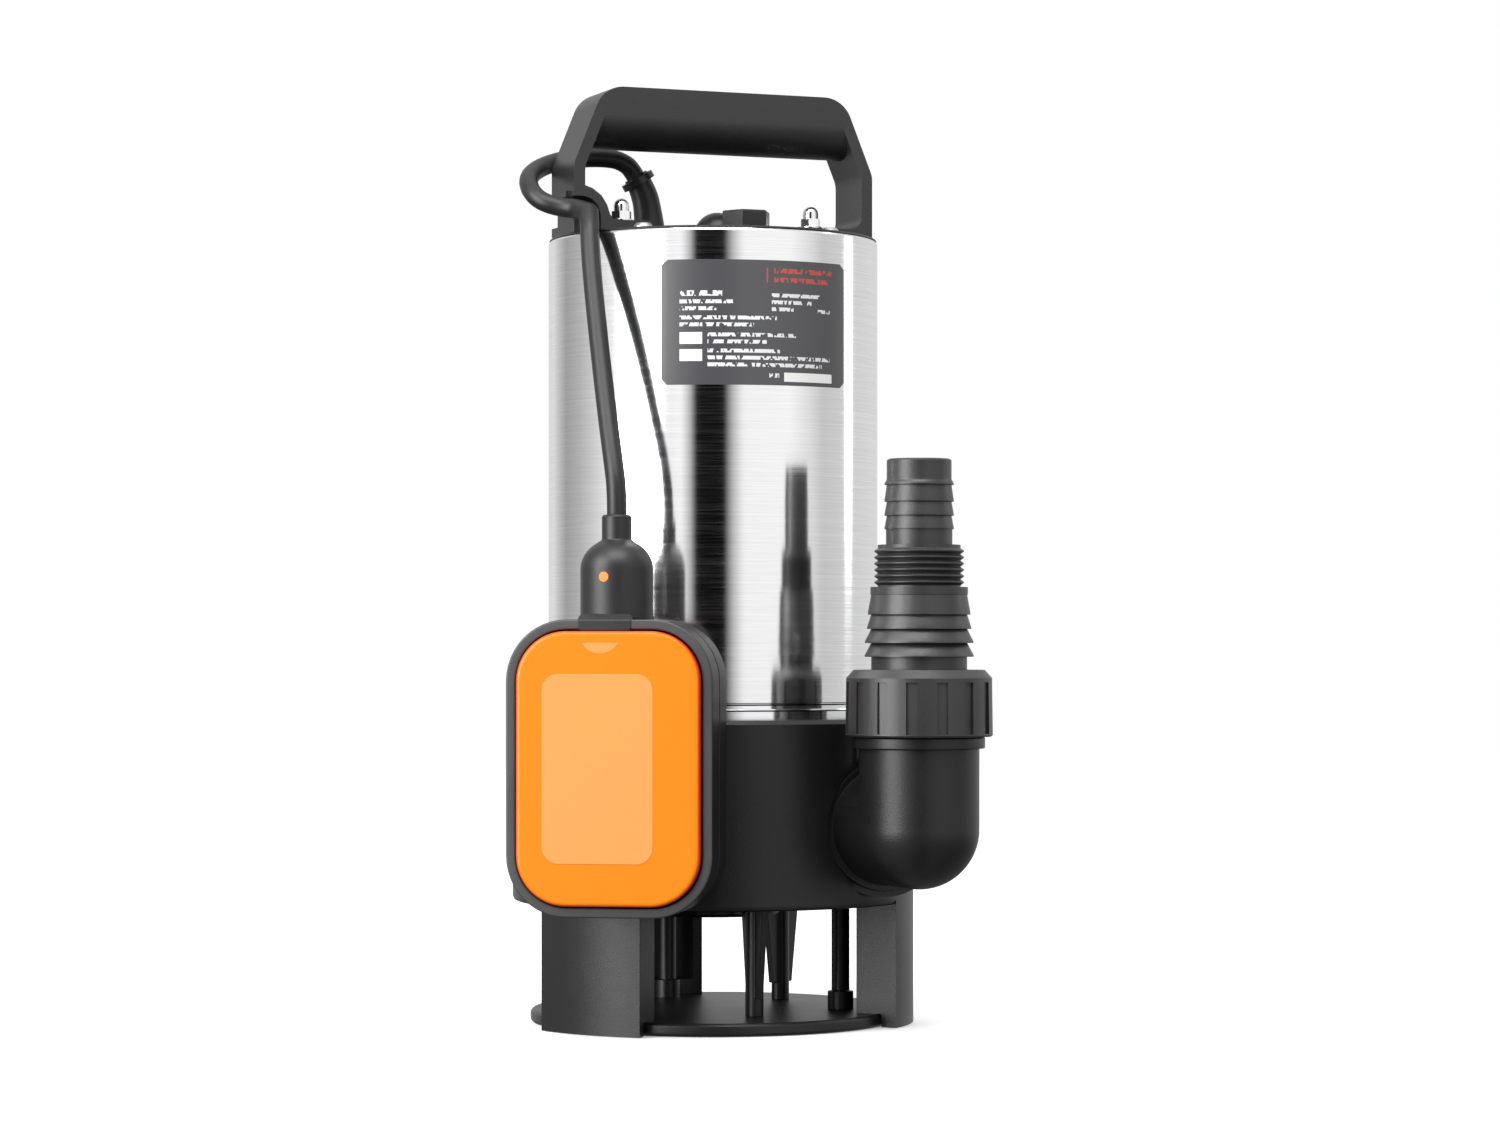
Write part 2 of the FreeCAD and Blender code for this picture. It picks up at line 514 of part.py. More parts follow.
def discharge():
    """The elbow on the housing's port, the union nut and the stepped hose adapter."""
    x, y, z = "port_x", "port_y", "port_z"
    outside = fused(
        rod_y("elbow_radius", "flange_face + 1", y, x, z), solid("Sphere", (x, y, z), Radius="elbow_radius"),
        rod("elbow_radius", z, "elbow_top + 1", x, y), rod("collar_radius", "elbow_top", "collar_top", x, y),
        rod("neck_radius", "collar_top - 1", "neck_top", x, y),
        rod_y("flange_radius", "recess_face", "flange_face", x, z),
        rod_y("port_bore - 0.1", "recess_face + 9", "recess_face - 1", x, z),
    )
    groove = cut(rod_y(22, "recess_face + 5.2", "recess_face + 2.2", x, z),
                 rod_y("port_bore - 1.9", "recess_face + 6", "recess_face + 1", x, z))
    inside = fused(
        rod_y("elbow_bore", "recess_face + 10", y, x, z), solid("Sphere", (x, y, z), Radius="elbow_bore"),
        rod("elbow_bore", z, "neck_top + 1", x, y),
    )
    piece(cut(outside, inside, groove), "discharge_elbow")
    piece(o_ring("port_bore - 1", 0.88, (x, "recess_face + 3.7", z), TOWARDS_PORT), "elbow_seal")
    piece(ring("elbow_bore + 1", "neck_radius - 0.3", "neck_top + 0.02", "neck_top + 2", x, y), "union_washer")

    ribs = [("nut_bore", "collar_top + 0.35"), ("nut_radius - 0.6", "collar_top + 0.35"),
            ("nut_radius", "collar_top + 1"), ("nut_radius - 0.3", "nut_top - 3"), ("nut_radius - 3", "nut_top"),
            ("adapter_neck + 0.4", "nut_top"), ("adapter_neck + 0.4", "nut_top - 3.8"),
            ("nut_bore", "nut_top - 3.8")]
    nut = turned(ribs)
    groove_cut = nut.newObject("PartDesign::Pocket", "grip_groove")
    groove_cut.Profile = sketch(nut, "XY_Plane", [[("nut_radius - 1.1", -2.1), ("nut_radius + 3", -2.1),
                                                   ("nut_radius + 3", 2.1), ("nut_radius - 1.1", 2.1)]],
                                "nut_top - 4.5")
    groove_cut.setExpression("Length", bound("nut_top - 4.5 - collar_top - 1.5"))
    doc.recompute()
    place(patterned(nut, "nut_panels"), (x, y, 0))
    piece(nut, "union_nut")

    flange_low = "neck_top + 2.02"
    outline = [("elbow_bore - 2", flange_low), ("neck_radius - 0.1", flange_low),
               ("neck_radius - 0.1", flange_low + " + 4.2"), ("adapter_neck", flange_low + " + 4.2"),
               ("adapter_neck", 141.8)]
    for crest, low, high in ((20.2, 141.8, 146.9), (20.1, 146.9, 152.1), (19.3, 152.1, 157.4), (19, 157.4, 164.7)):
        outline += [(crest, low), (crest, low + 0.6), (17.8, high)]
    outline += [(18.05, 164.75), (18.05, 167.6), ("thread_root", 167.6)]
    for turn in range(6):
        base = 168.2 + turn * value("thread_pitch")
        outline += [("thread_root", base), ("thread_radius", base + 0.95), ("thread_radius", base + 1.35),
                    ("thread_root", base + 2.2)]
    outline += [("thread_root", 183.2), ("hose_radius + 0.3", 183.2), ("hose_radius + 0.3", 189)]
    for low, high in ((189, 194), (194, 199.2), (199.2, 205.4), (205.4, 207.5)):
        outline += [("hose_radius + 0.85", low), ("hose_radius + 0.85", low + 0.5), ("hose_radius", high)]
    outline += [("hose_radius", "adapter_top - 0.6"), ("hose_radius - 0.6", "adapter_top"),
                ("hose_radius - 2.6", "adapter_top"), ("hose_radius - 2.6", 180), ("elbow_bore - 2", 164)]
    piece(turned(outline, (x, y, 0)), "hose_adapter")


def mirrored(points):
    """A loop of points on the right, closed by their mirror images on the left."""
    return points + [("-(%s)" % across, up) for across, up in reversed(points)]


def handle():
    """The carrying handle with its cable clip, studs and cap nuts."""
    foot = [("handle_foot", "lid_top + 0.6"), ("handle_foot", "handle_knee"), ("handle_shoulder", "handle_top")]
    frame = padded(None, "XZ_Plane", [mirrored(foot)], "handle_width", middle=True)
    frame = rounded(frame, "shoulder_round", lambda edge, spot: abs(spot.y) < 1 and spot.z > value("handle_top - 1"))
    frame = rounded(frame, "knee_round", lambda edge, spot: abs(spot.y) < 1
                    and abs(spot.z - value("handle_knee")) < 1)
    room = [("handle_foot - handle_wall", 309), ("handle_foot - handle_wall", "handle_knee - 1"),
            ("handle_shoulder - 0.8", "grip_under + grip_round + 1")]
    window = padded(None, "XZ_Plane", [mirrored(room)], "handle_width + 2", middle=True)
    window = rounded(window, 5, lambda edge, spot: abs(spot.y) < 1 and spot.z < 310 and abs(spot.x) > 50)
    window = rounded(window, 10, lambda edge, spot: abs(spot.y) < 1 and abs(spot.z - value("handle_knee - 1")) < 1)
    grip = [("handle_width / 2 * cos(%d)" % angle, "grip_under + grip_round * (1 - sin(%d))" % angle)
            for angle in range(0, 181, 15)]
    grip += [("-handle_width / 2", "grip_under + grip_round + 3"), ("handle_width / 2", "grip_under + grip_round + 3")]
    bar = padded(None, "YZ_Plane", [grip], "2 * handle_foot + 10", middle=True)
    gap = block(("-nut_x + 9", "nut_x - 9"), (-20, 20), ("lid_top - 1", 312))
    frame = cut(frame, cut(window, bar), gap)

    arch = [(-61, "lid_top + 0.6"), (-61, 322), (-57.5, 321.6), (-54.5, 320.6), (-50.9, 318), (-48.6, 314.5),
            (-47.4, 311), (-45.8, 308.6), (-43.5, 307.3), (-40, 307), (-40, "lid_top + 0.6")]
    wall = common(padded(None, "XZ_Plane", [arch], "handle_width", middle=True),
                  block((-70, -30), ("-handle_width / 2", "clip_back + 3"), (300, 330)))
    cave = [(-64, "clip_low"), (-64, "clip_high"), (-58, "clip_high"), (-54.6, "clip_high - 1"),
            (-52.2, "clip_high - 3.6"), (-51.2, "clip_high - 7"), (-51, "clip_low")]
    pocket = common(padded(None, "XZ_Plane", [cave], "handle_width + 2", middle=True),
                    block((-70, -30), (-14, "clip_back"), (300, 330)))
    channel = block(("-handle_foot - 1", "-handle_foot + 2.4"), ("clip_back - 1", 14), ("clip_low", "clip_high"))
    mouth = block(("-handle_foot + 2", -51), (-14, "clip_back"), ("lid_top", "clip_low + 1"))
    tab_above = block(("-handle_foot - 1.3", "-handle_foot + 0.1"), (-7, 5), ("clip_high", "clip_high + 2.4"))
    tab_below = block(("-handle_foot", "-handle_foot + 1.8"), (-13, -7), ("clip_low - 0.5", "clip_low + 1.2"))
    stud_holes = [rod(2.15, 300, 316, sign + "nut_x", "nut_y") for sign in ("", "-")]
    body = cut(fused(frame, wall), *stud_holes, pocket, channel, mouth)
    piece(fused(body, tab_above, tab_below), "carry_handle")
    studs = [rod(1.95, "lid_top - 5.5", 314, sign + "nut_x", "nut_y") for sign in ("", "-")]
    group("handle_studs", *studs)
    nuts = []
    for sign in ("", "-"):
        low = 309.05
        body = fused(rod(4.4, low, low + 1, sign + "nut_x", "nut_y"),
                     ngon(6, 7, low + 1, low + 4, sign + "nut_x", "nut_y"),
                     rod(3.05, low + 4, low + 6, sign + "nut_x", "nut_y"),
                     solid("Sphere", (sign + "nut_x", "nut_y", low + 6), Radius=3.05))
        nuts.append(cut(body, rod(2, low - 1, low + 5, sign + "nut_x", "nut_y")))
    group("handle_cap_nuts", *nuts)


def glands():
    """The mains lead's inlet and the float cable's guide sleeve."""
    x, y = 5.8, -20
    piece(turned([(4.6, "lid_under + 1"), (6, "lid_under + 1"), (6, "lid_top + 0.02"), (10, "lid_top + 0.02"),
                  (10, "lid_top + 3"), (7, "lid_top + 3.6"), (7, "lid_top + 6"), (4.6, "lid_top + 6")], (x, y, 0)),
          "mains_gland_body")
    cap = cut(rounded(ngon(6, 17, "lid_top + 3.8", "lid_top + 10.4", x, y), 0.8,
                      lambda edge, spot: spot.z > value("lid_top + 10.3")),
              rod(7.1, "lid_top + 3", "lid_top + 8", x, y), rod(4.7, "lid_top + 7", "lid_top + 12", x, y))
    piece(cap, "mains_gland_nut")
    piece(ring(4.2, 4.55, "lid_under + 1.5", "lid_top + 10", x, y), "mains_gland_seal")
    dome = common(solid("Sphere", (-4, 2, "lid_top - 9"), Radius=15), rod(14, "lid_top + 0.02", "lid_top + 20", -4, 2))
    piece(dome, "vent_plug")
    piece(turned([(0, "lid_under + 0.5"), (4, "lid_under + 0.5"), (4, "lid_top + 0.02"), (8.5, "lid_top + 0.02"),
                  (8.5, "lid_top + 2.6"), (7.5, "lid_top + 3.4"), (0, "lid_top + 3.4")], (-17.5, 22, 0)),
          "float_cable_gland")
    guide = tube_along(GUIDE_ROUTE, "guide_radius", "float_cable_guide")
    gland = subparts[-2]
    gland.Label = "float_cable_gland_blank"
    subparts[-2] = cut(gland, guide)
    subparts[-2].Label = "float_cable_gland"
    near, top = V(*GUIDE_ROUTE[-2]), V(*GUIDE_ROUTE[-1])
    lean = FreeCAD.Rotation(Z_AXIS, top - near)
    along = lean.multVec(Z_AXIS)
    low = top - along * 3.4
    band = turned([("guide_radius - 2", 0), ("guide_radius + 1.2", 0), ("guide_radius + 1.2", 2.6),
                   ("guide_radius - 2", 2.6)], (low.x, low.y, low.z), lean)
    head_at = low + lean.multVec(V(0, 0, -0.4))
    head = solid("Box", (head_at.x, head_at.y, head_at.z), lean * FreeCAD.Rotation(Z_AXIS, -20),
                 Length=5, Width="guide_radius + 3.6", Height=3.4)
    piece(cut(fused(band, head), guide), "cable_tie")


def slab(width, tall, corner, low, high):
    """A rounded rectangular slab in the float's own frame, as a body."""
    half_w, half_t = "(%s) / 2" % width, "(%s) / 2" % tall
    loops = []
    for sign_x, sign_y, start in ((1, -1, -90), (1, 1, 0), (-1, 1, 90), (-1, -1, 180)):
        for step in range(7):
            angle = start + 15 * step
            loops.append(("%d * (%s - (%s)) + (%s) * cos(%d)" % (sign_x, half_w, corner, corner, angle),
                          "%d * (%s - (%s)) + (%s) * sin(%d)" % (sign_y, half_t, corner, corner, angle)))
    return padded(None, "XY_Plane", [loops], "(%s) - (%s)" % (high, low), low)


def in_float(item, flip=False):
    """Puts an item modelled in the float's own frame where the float hangs."""
    turn = FLOAT_TURN * FreeCAD.Rotation(Y_AXIS, 180) if flip else FLOAT_TURN
    return place(item, ("float_x", "float_y", "float_z"), turn)


def float_half(name, flip):
    """One half of the float: a black shell with a ledge, and the orange lens that closes it."""
    rim, wall = "float_rim", "float_wall"
    outer = slab("float_width", "float_tall", "float_corner", 0.4, "float_half - 3")
    room = slab("float_width - 2 * float_wall", "float_tall - 2 * float_wall", "float_corner - float_wall",
                -1, "float_half - 11")
    throat = slab("float_width - 16", "float_tall - 16", "float_corner - 8", 0, "float_half + 1")
    seat = slab("float_width - 2 * float_rim", "float_tall - 2 * float_rim", "float_corner - float_rim",
                "float_half - 9", "float_half + 2")
    piece(in_float(cut(outer, room, throat, seat), flip), "float_shell_" + name)
    lens = slab("float_width - 2 * float_rim - 0.4", "float_tall - 2 * float_rim - 0.4",
                "float_corner - float_rim - 0.2", "float_half - 8.9", "float_half")
    hollow = slab("float_width - 2 * float_rim - 5", "float_tall - 2 * float_rim - 5",
                  "float_corner - float_rim - 2.5", "float_half - 10", "float_half - 2.5")
    piece(in_float(cut(lens, hollow), flip), "float_lens_" + name)


def float_switch():
    """The float on its cable, with the rolling ball and the switch that it works."""
    float_half("front", False)
    float_half("back", True)
    gasket = cut(slab("float_width - 1", "float_tall - 1", "float_corner - 0.5", -0.38, 0.38),
                 slab("float_width - 2 * float_wall", "float_tall - 2 * float_wall", "float_corner - float_wall", -1, 1))
    piece(in_float(gasket), "float_gasket")
    along = FreeCAD.Rotation(X_AXIS, -90)
    tube = cut(fused(solid("Cylinder", (0, -40, 0), along, Radius="track_radius", Height=56),
                     solid("Box", (-22, -30, -2), Length=44, Width=10, Height=4),
                     solid("Box", (-22, 4, -2), Length=44, Width=10, Height=4)),
               solid("Cylinder", (0, -38, 0), along, Radius="track_bore", Height=52))
    port = solid("Cylinder", (0, 12, 0), along, Radius=3, Height=6)
    piece(in_float(cut(tube, port)), "ball_track")
    ball = in_float(solid("Sphere", (0, 0, 0), Radius="roller_radius"))
    ball.setExpression("Placement.Base.z", bound("float_z - 30"))
    piece(ball, "rolling_ball")
    micro = fused(solid("Box", (-10, 20.5, -5), Length=20, Width=14, Height=10),
                  solid("Box", (-8, 34.4, -0.4), Length=2.6, Width=4, Height=0.8),
                  solid("Box", (-1.3, 34.4, -0.4), Length=2.6, Width=4, Height=0.8),
                  solid("Box", (5.4, 34.4, -0.4), Length=2.6, Width=4, Height=0.8))
    piece(in_float(micro), "microswitch")
    plunger = fused(solid("Cylinder", (0, 12.9, 0), along, Radius=1.4, Height=7.5),
                    solid("Sphere", (0, 12.9, 0), Radius=1.4))
    piece(in_float(plunger), "switch_plunger")

    top = value("float_z + float_tall / 2") + 0.05
    boot = turned([
        (0, top), ("boot_radius", top), ("boot_radius", "boot_top - 12"), ("boot_radius - 0.9", "boot_top - 7.4"),
        ("boot_radius - 3", "boot_top - 3.2"), ("boot_radius - 6", "boot_top - 0.6"),
        ("neck_sleeve", "boot_top"), ("neck_sleeve", "neck_sleeve_top - 0.5"),
        ("neck_sleeve - 0.5", "neck_sleeve_top"), (0, "neck_sleeve_top"),
    ], ("float_x", "float_y", 0))
    towards = FreeCAD.Rotation(Z_AXIS, -41) * TOWARDS_PORT
    outward = towards.multVec(Z_AXIS)
    reach = value("boot_radius")
    spot = V(value("float_x"), value("float_y"), 171) + outward * (reach - 3)
    pin_hole = solid("Cylinder", (spot.x, spot.y, spot.z), towards, Radius=1.95, Height=6)
    piece(cut(boot, pin_hole), "float_boot")
    spot += outward * 0.05
    piece(solid("Cylinder", (spot.x, spot.y, spot.z), towards, Radius=1.9, Height=3.1), "boot_plug")


def cables():
    """The cable up to the clip, and the cable below it, whose round end turns in the clip."""
    tube_along(CABLE_LOOP, "cable_radius", "float_cable_loop")
    drop = tube_along(CABLE_DROP, "cable_radius", "float_cable_drop")
    subparts.remove(drop)
    drop.Label = "float_cable_drop_tube"
    back = V(*CABLE_DROP[0]) - V(*CABLE_DROP[1])
    end = solid("Sphere", CLIP_PIVOT, FreeCAD.Rotation(Z_AXIS, back), Radius="cable_radius", Angle1=0)
    piece(fused(drop, end), "float_cable_drop")


def check_and_write():
    """Stops on any failed object or unsound shape, and only then writes the files."""
    doc.recompute()
    for item in doc.Objects:
        if {"Invalid", "Error"} & set(item.State):
            raise SystemExit("failed object: %s (%s)" % (item.Name, item.Label))
    for item in subparts:
        if item.Shape.isNull() or not item.Shape.isValid() or not item.Shape.Solids:
            raise SystemExit("unsound sub-part: " + item.Label)
    os.makedirs("parts", exist_ok=True)
    for item in subparts:
        item.Shape.exportStep("parts/%s.step" % item.Label)
    print("%d sub-parts" % len(subparts))


motor_casing()
motor()
wet_end()
discharge()
handle()
glands()
float_switch()
cables()
check_and_write()
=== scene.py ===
import json
import math

import bpy
from mathutils import Matrix, Vector


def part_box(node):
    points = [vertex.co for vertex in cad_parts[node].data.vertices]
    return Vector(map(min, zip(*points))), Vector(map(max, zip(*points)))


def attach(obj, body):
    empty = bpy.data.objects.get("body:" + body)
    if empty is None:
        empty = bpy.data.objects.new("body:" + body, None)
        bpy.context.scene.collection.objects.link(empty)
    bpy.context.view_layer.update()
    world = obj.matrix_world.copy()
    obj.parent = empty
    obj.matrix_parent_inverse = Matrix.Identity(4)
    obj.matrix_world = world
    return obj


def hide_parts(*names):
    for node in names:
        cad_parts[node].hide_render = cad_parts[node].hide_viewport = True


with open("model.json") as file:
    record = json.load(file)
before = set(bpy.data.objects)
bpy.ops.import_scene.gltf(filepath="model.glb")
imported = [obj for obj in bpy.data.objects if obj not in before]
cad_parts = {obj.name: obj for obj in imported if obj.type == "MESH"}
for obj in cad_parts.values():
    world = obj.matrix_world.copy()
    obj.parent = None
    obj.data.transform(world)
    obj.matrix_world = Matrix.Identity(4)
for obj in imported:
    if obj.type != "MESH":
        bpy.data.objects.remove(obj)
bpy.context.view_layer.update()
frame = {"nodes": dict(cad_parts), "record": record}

MM = 0.001
Z_UP = Vector((0, 0, 1))
POLE_RADIUS = 0.01

# ------------------------------------------------------------------ places read from the frame
LABEL_LOW, LABEL_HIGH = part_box("rating_label")
BOOT_LOW, BOOT_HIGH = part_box("float_boot")
FLOAT_LOW, FLOAT_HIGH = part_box("float_shell_front")
SHELL_RADIUS = 64 * MM
FLOAT_CENTRE = Vector((
    (BOOT_LOW.x + BOOT_HIGH.x) / 2,
    (BOOT_LOW.y + BOOT_HIGH.y) / 2,
    (FLOAT_LOW.z + FLOAT_HIGH.z) / 2,
))
FLOAT_YAW = math.radians(-31)
UPRIGHT = Matrix.Rotation(math.radians(90), 4, "X")
FLOAT_FRAME = Matrix.Translation(FLOAT_CENTRE) @ Matrix.Rotation(FLOAT_YAW, 4, "Z") @ UPRIGHT

# The float in its own frame, in millimetres: x across, y up and z out of its face.
FLOAT_WIDTH = 76.4
FLOAT_TALL = 108.6
FLOAT_CORNER = 22.5
SHELL_BACK = 0.4
SHELL_WALL = 2.2
SHELL_HOLLOW = 7.5
LENS_RECESS = 5.8
RIM_FRONT = 16
RIM_WIDTH = 3.7
LENS_WIDTH = 67.9
LENS_TALL = 100.1
LENS_CORNER = 18.3
LENS_FRONT = 19
BOOT_RADIUS = 13.4
NECK_RADIUS = 5.5

# Route points of the float's cable, in millimetres: up to the clip, and from the clip to the float.
GUIDE_ROUTE = [(-17.8, 22.5, 306.42), (-18.3, 22.9, 315.5), (-20, 23.6, 324.6), (-23.4, 23.9, 330.2)]
CABLE_LOOP = [
    (-23.4, 23.9, 330.2), (-25.202, 24.059, 333.168), (-27.95, 24.3, 335.3), (-32.2, 24.6, 336.8),
    (-41, 25, 337), (-54, 22.8, 335.2), (-66, 16.5, 331), (-73.8, 7.5, 325.7), (-75.8, -2, 319.5),
    (-73, -7.5, 315), (-66, -10.8, 312.8), (-61.6, -15, 312.3), (-60.7, -20.2, 311), (-60, -24, 310),
]
CABLE_DROP = [
    (-60, -24, 310), (-61.6, -29.2, 305), (-62.7, -32.8, 297), (-63.8, -39, 282), (-65.1, -50, 257),
    (-66.4, -62, 231), (-67.1, -70.6, 213), (-67.1, -74.1, 203), (-67.1, -74.1, 194.02),
]
CABLE_RADIUS = 3.65
GUIDE_RADIUS = 5.5

# ------------------------------------------------------------------ camera and light
CAMERA_AZIMUTH = math.radians(-22)
CAMERA_DISTANCE = 1.598
CAMERA_SIDE = 0.0144
CAMERA_HEIGHT = 0.148
LENS_LENGTH = 98.4
FRAME_SHIFT_UP = 0.0517


def make_camera():
    data = bpy.data.cameras.new("camera")
    data.lens = LENS_LENGTH
    data.sensor_width = 36
    data.shift_y = FRAME_SHIFT_UP
    data.clip_end = 20
    camera = bpy.data.objects.new("camera", data)
    bpy.context.collection.objects.link(camera)
    turn = Matrix.Rotation(CAMERA_AZIMUTH, 4, "Z")
    place = turn @ Vector((CAMERA_SIDE, -CAMERA_DISTANCE, 0)) + Z_UP * CAMERA_HEIGHT
    camera.matrix_world = Matrix.Translation(place) @ turn @ UPRIGHT
    bpy.context.scene.camera = camera


def area_light(name, azimuth, elevation, distance, width, height, power):
    """A softbox that faces the pump, at an azimuth seen from above and an elevation in degrees."""
    data = bpy.data.lights.new(name, "AREA")
    data.shape = "RECTANGLE"
    data.size = width
    data.size_y = height
    data.energy = power
    light = bpy.data.objects.new(name, data)
    bpy.context.collection.objects.link(light)
    target = Vector((0, 0, 0.17))
    around = math.radians(azimuth)
    up = math.radians(elevation)
    away = Vector((math.cos(around) * math.cos(up), math.sin(around) * math.cos(up), math.sin(up)))
    light.location = target + away * distance
    light.rotation_euler = away.to_track_quat("Z", "Y").to_euler()


def make_floor():
    """A plain pale floor under the pump, which neither lights it nor shows in its steel."""
    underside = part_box("base_plate")[0].z
    deselect()
    bpy.ops.mesh.primitive_plane_add(size=6, location=(0, 0, underside - 0.2 * MM))
    floor = bpy.context.active_object
    floor.name = "studio_floor"
    bpy.ops.object.transform_apply(location=True, rotation=True, scale=True)
    made, _, shader = material("pale_floor", Base_Color=(0.86, 0.86, 0.86, 1), Roughness=0.7)
    shader.inputs["Emission Color"].default_value = (1, 1, 1, 1)
    shader.inputs["Emission Strength"].default_value = 0.3
    floor.data.materials.append(made)
    floor.visible_glossy = False
    floor.visible_diffuse = False


# Brightness of the surroundings by the turn about the pump: 0 and 1 straight behind it, 0.5 at the camera.
SURROUNDINGS = [
    (0.0, 0.72), (0.09, 0.80), (0.155, 0.40), (0.205, 0.52), (0.24, 0.68), (0.315, 1.12), (0.37, 1.02),
    (0.40, 0.95), (0.44, 1.12), (0.456, 0.60), (0.469, 0.0), (0.523, 0.0), (0.539, 0.55), (0.56, 1.08),
    (0.655, 1.10), (0.70, 0.85), (0.73, 0.66), (0.80, 0.74), (0.90, 0.78), (1.0, 0.72),
]


def eased_range(nodes, links, height, start, end, low, high):
    """A number that eases from low to high as the height goes from start to end."""
    node = nodes.new("ShaderNodeMapRange")
    node.interpolation_type = "SMOOTHSTEP"
    links.new(height, node.inputs["Value"])
    node.inputs["From Min"].default_value = start
    node.inputs["From Max"].default_value = end
    node.inputs["To Min"].default_value = low
    node.inputs["To Max"].default_value = high
    return node.outputs["Result"]


def surroundings_ramp(nodes):
    ramp = nodes.new("ShaderNodeValToRGB")
    stops = ramp.color_ramp.elements
    stops.remove(stops[0])
    stops[0].position = SURROUNDINGS[0][0]
    for place, _ in SURROUNDINGS[1:]:
        stops.new(place)
    for stop, (place, level) in zip(stops, SURROUNDINGS):
        stop.position = place
        stop.color = (level, level, level, 1)
    return ramp


def make_world():
    """Bright studio surroundings, with a dim gap at the front between two bright screens."""
    world = bpy.data.worlds.new("studio")
    bpy.context.scene.world = world
    world.use_nodes = True
    nodes = world.node_tree.nodes
    links = world.node_tree.links
    nodes.clear()
    output = nodes.new("ShaderNodeOutputWorld")
    seen = nodes.new("ShaderNodeBackground")
    studio = nodes.new("ShaderNodeBackground")
    mix = nodes.new("ShaderNodeMixShader")
    path = nodes.new("ShaderNodeLightPath")
    where = nodes.new("ShaderNodeTexCoord")
    split = nodes.new("ShaderNodeSeparateXYZ")
    turn = nodes.new("ShaderNodeVectorRotate")
    turn.rotation_type = "Z_AXIS"
    turn.inputs["Angle"].default_value = math.radians(90) - CAMERA_AZIMUTH
    links.new(where.outputs["Generated"], turn.inputs["Vector"])
    links.new(turn.outputs["Vector"], split.inputs["Vector"])
    angle = nodes.new("ShaderNodeMath")
    angle.operation = "ARCTAN2"
    links.new(split.outputs["Y"], angle.inputs[0])
    links.new(split.outputs["X"], angle.inputs[1])
    spread = nodes.new("ShaderNodeMapRange")
    spread.inputs["From Min"].default_value = -math.pi
    spread.inputs["From Max"].default_value = math.pi
    links.new(angle.outputs[0], spread.inputs["Value"])
    ramp = surroundings_ramp(nodes)
    links.new(spread.outputs["Result"], ramp.inputs["Fac"])
    links.new(ramp.outputs["Color"], studio.inputs["Color"])
    strength = nodes.new("ShaderNodeMath")
    strength.operation = "MULTIPLY"
    links.new(eased_range(nodes, links, split.outputs["Z"], -0.35, 0.02, 0.32, 0.98), strength.inputs[0])
    links.new(eased_range(nodes, links, split.outputs["Z"], 0.55, 1.0, 1.0, 1.5), strength.inputs[1])
    links.new(strength.outputs[0], studio.inputs["Strength"])
    seen.inputs["Color"].default_value = (1, 1, 1, 1)
    seen.inputs["Strength"].default_value = 1.0
    links.new(path.outputs["Is Camera Ray"], mix.inputs["Fac"])
    links.new(studio.outputs[0], mix.inputs[1])
    links.new(seen.outputs[0], mix.inputs[2])
    links.new(mix.outputs[0], output.inputs["Surface"])


# ------------------------------------------------------------------ materials
def node_group(name, inputs, outputs):
    """A new shader group with float inputs and the outputs that are named with their kinds."""
    tree = bpy.data.node_groups.new(name, "ShaderNodeTree")
    for label, default in inputs.items():
        socket = tree.interface.new_socket(name=label, in_out="INPUT", socket_type="NodeSocketFloat")
        socket.default_value = default
    for label, kind in outputs.items():
        tree.interface.new_socket(name=label, in_out="OUTPUT", socket_type=kind)
    return tree, tree.nodes.new("NodeGroupInput"), tree.nodes.new("NodeGroupOutput")


def math_node(tree, operation, first, second=None, third=None):
    """A maths node whose inputs are sockets or plain numbers."""
    node = tree.nodes.new("ShaderNodeMath")
    node.operation = operation
    for index, value in enumerate((first, second, third)):
        if value is None:
            continue
        if isinstance(value, (int, float)):
            node.inputs[index].default_value = value
        else:
            tree.links.new(value, node.inputs[index])
    return node.outputs[0]


def object_place(tree, scale=(1, 1, 1)):
    """Object coordinates, stretched."""
    place = tree.nodes.new("ShaderNodeTexCoord")
    mapping = tree.nodes.new("ShaderNodeMapping")
    mapping.inputs["Scale"].default_value = scale
    tree.links.new(place.outputs["Object"], mapping.inputs["Vector"])
    return mapping.outputs["Vector"]


def noise(tree, vector, scale, detail=2.0, rough=0.5):
    node = tree.nodes.new("ShaderNodeTexNoise")
    node.inputs["Detail"].default_value = detail
    node.inputs["Roughness"].default_value = rough
    tree.links.new(vector, node.inputs["Vector"])
    if isinstance(scale, (int, float)):
        node.inputs["Scale"].default_value = scale
    else:
        tree.links.new(scale, node.inputs["Scale"])
    return node.outputs["Fac"]


def grain_group():
    """Fine grain for height, a slow mottle that shades colour and roughness, and specks of dust."""
    inputs = {"Grain": 2500.0, "Mottle": 35.0, "Depth": 0.5}
    outputs = dict.fromkeys(("Height", "Shade", "Dust"), "NodeSocketFloat")
    tree, given, result = node_group("surface_grain", inputs, outputs)
    place = object_place(tree)
    fine = noise(tree, place, given.outputs["Grain"], 2.0, 0.6)
    slow = noise(tree, place, given.outputs["Mottle"], 4.0, 0.55)
    height = math_node(tree, "MULTIPLY", fine, given.outputs["Depth"])
    shade = math_node(tree, "MULTIPLY_ADD", slow, 0.6, 0.7)
    spots = noise(tree, place, 900.0, 3.0, 0.7)
    dust = math_node(tree, "MULTIPLY", math_node(tree, "GREATER_THAN", spots, 0.74), slow)
    tree.links.new(height, result.inputs["Height"])
    tree.links.new(shade, result.inputs["Shade"])
    tree.links.new(dust, result.inputs["Dust"])
    return tree


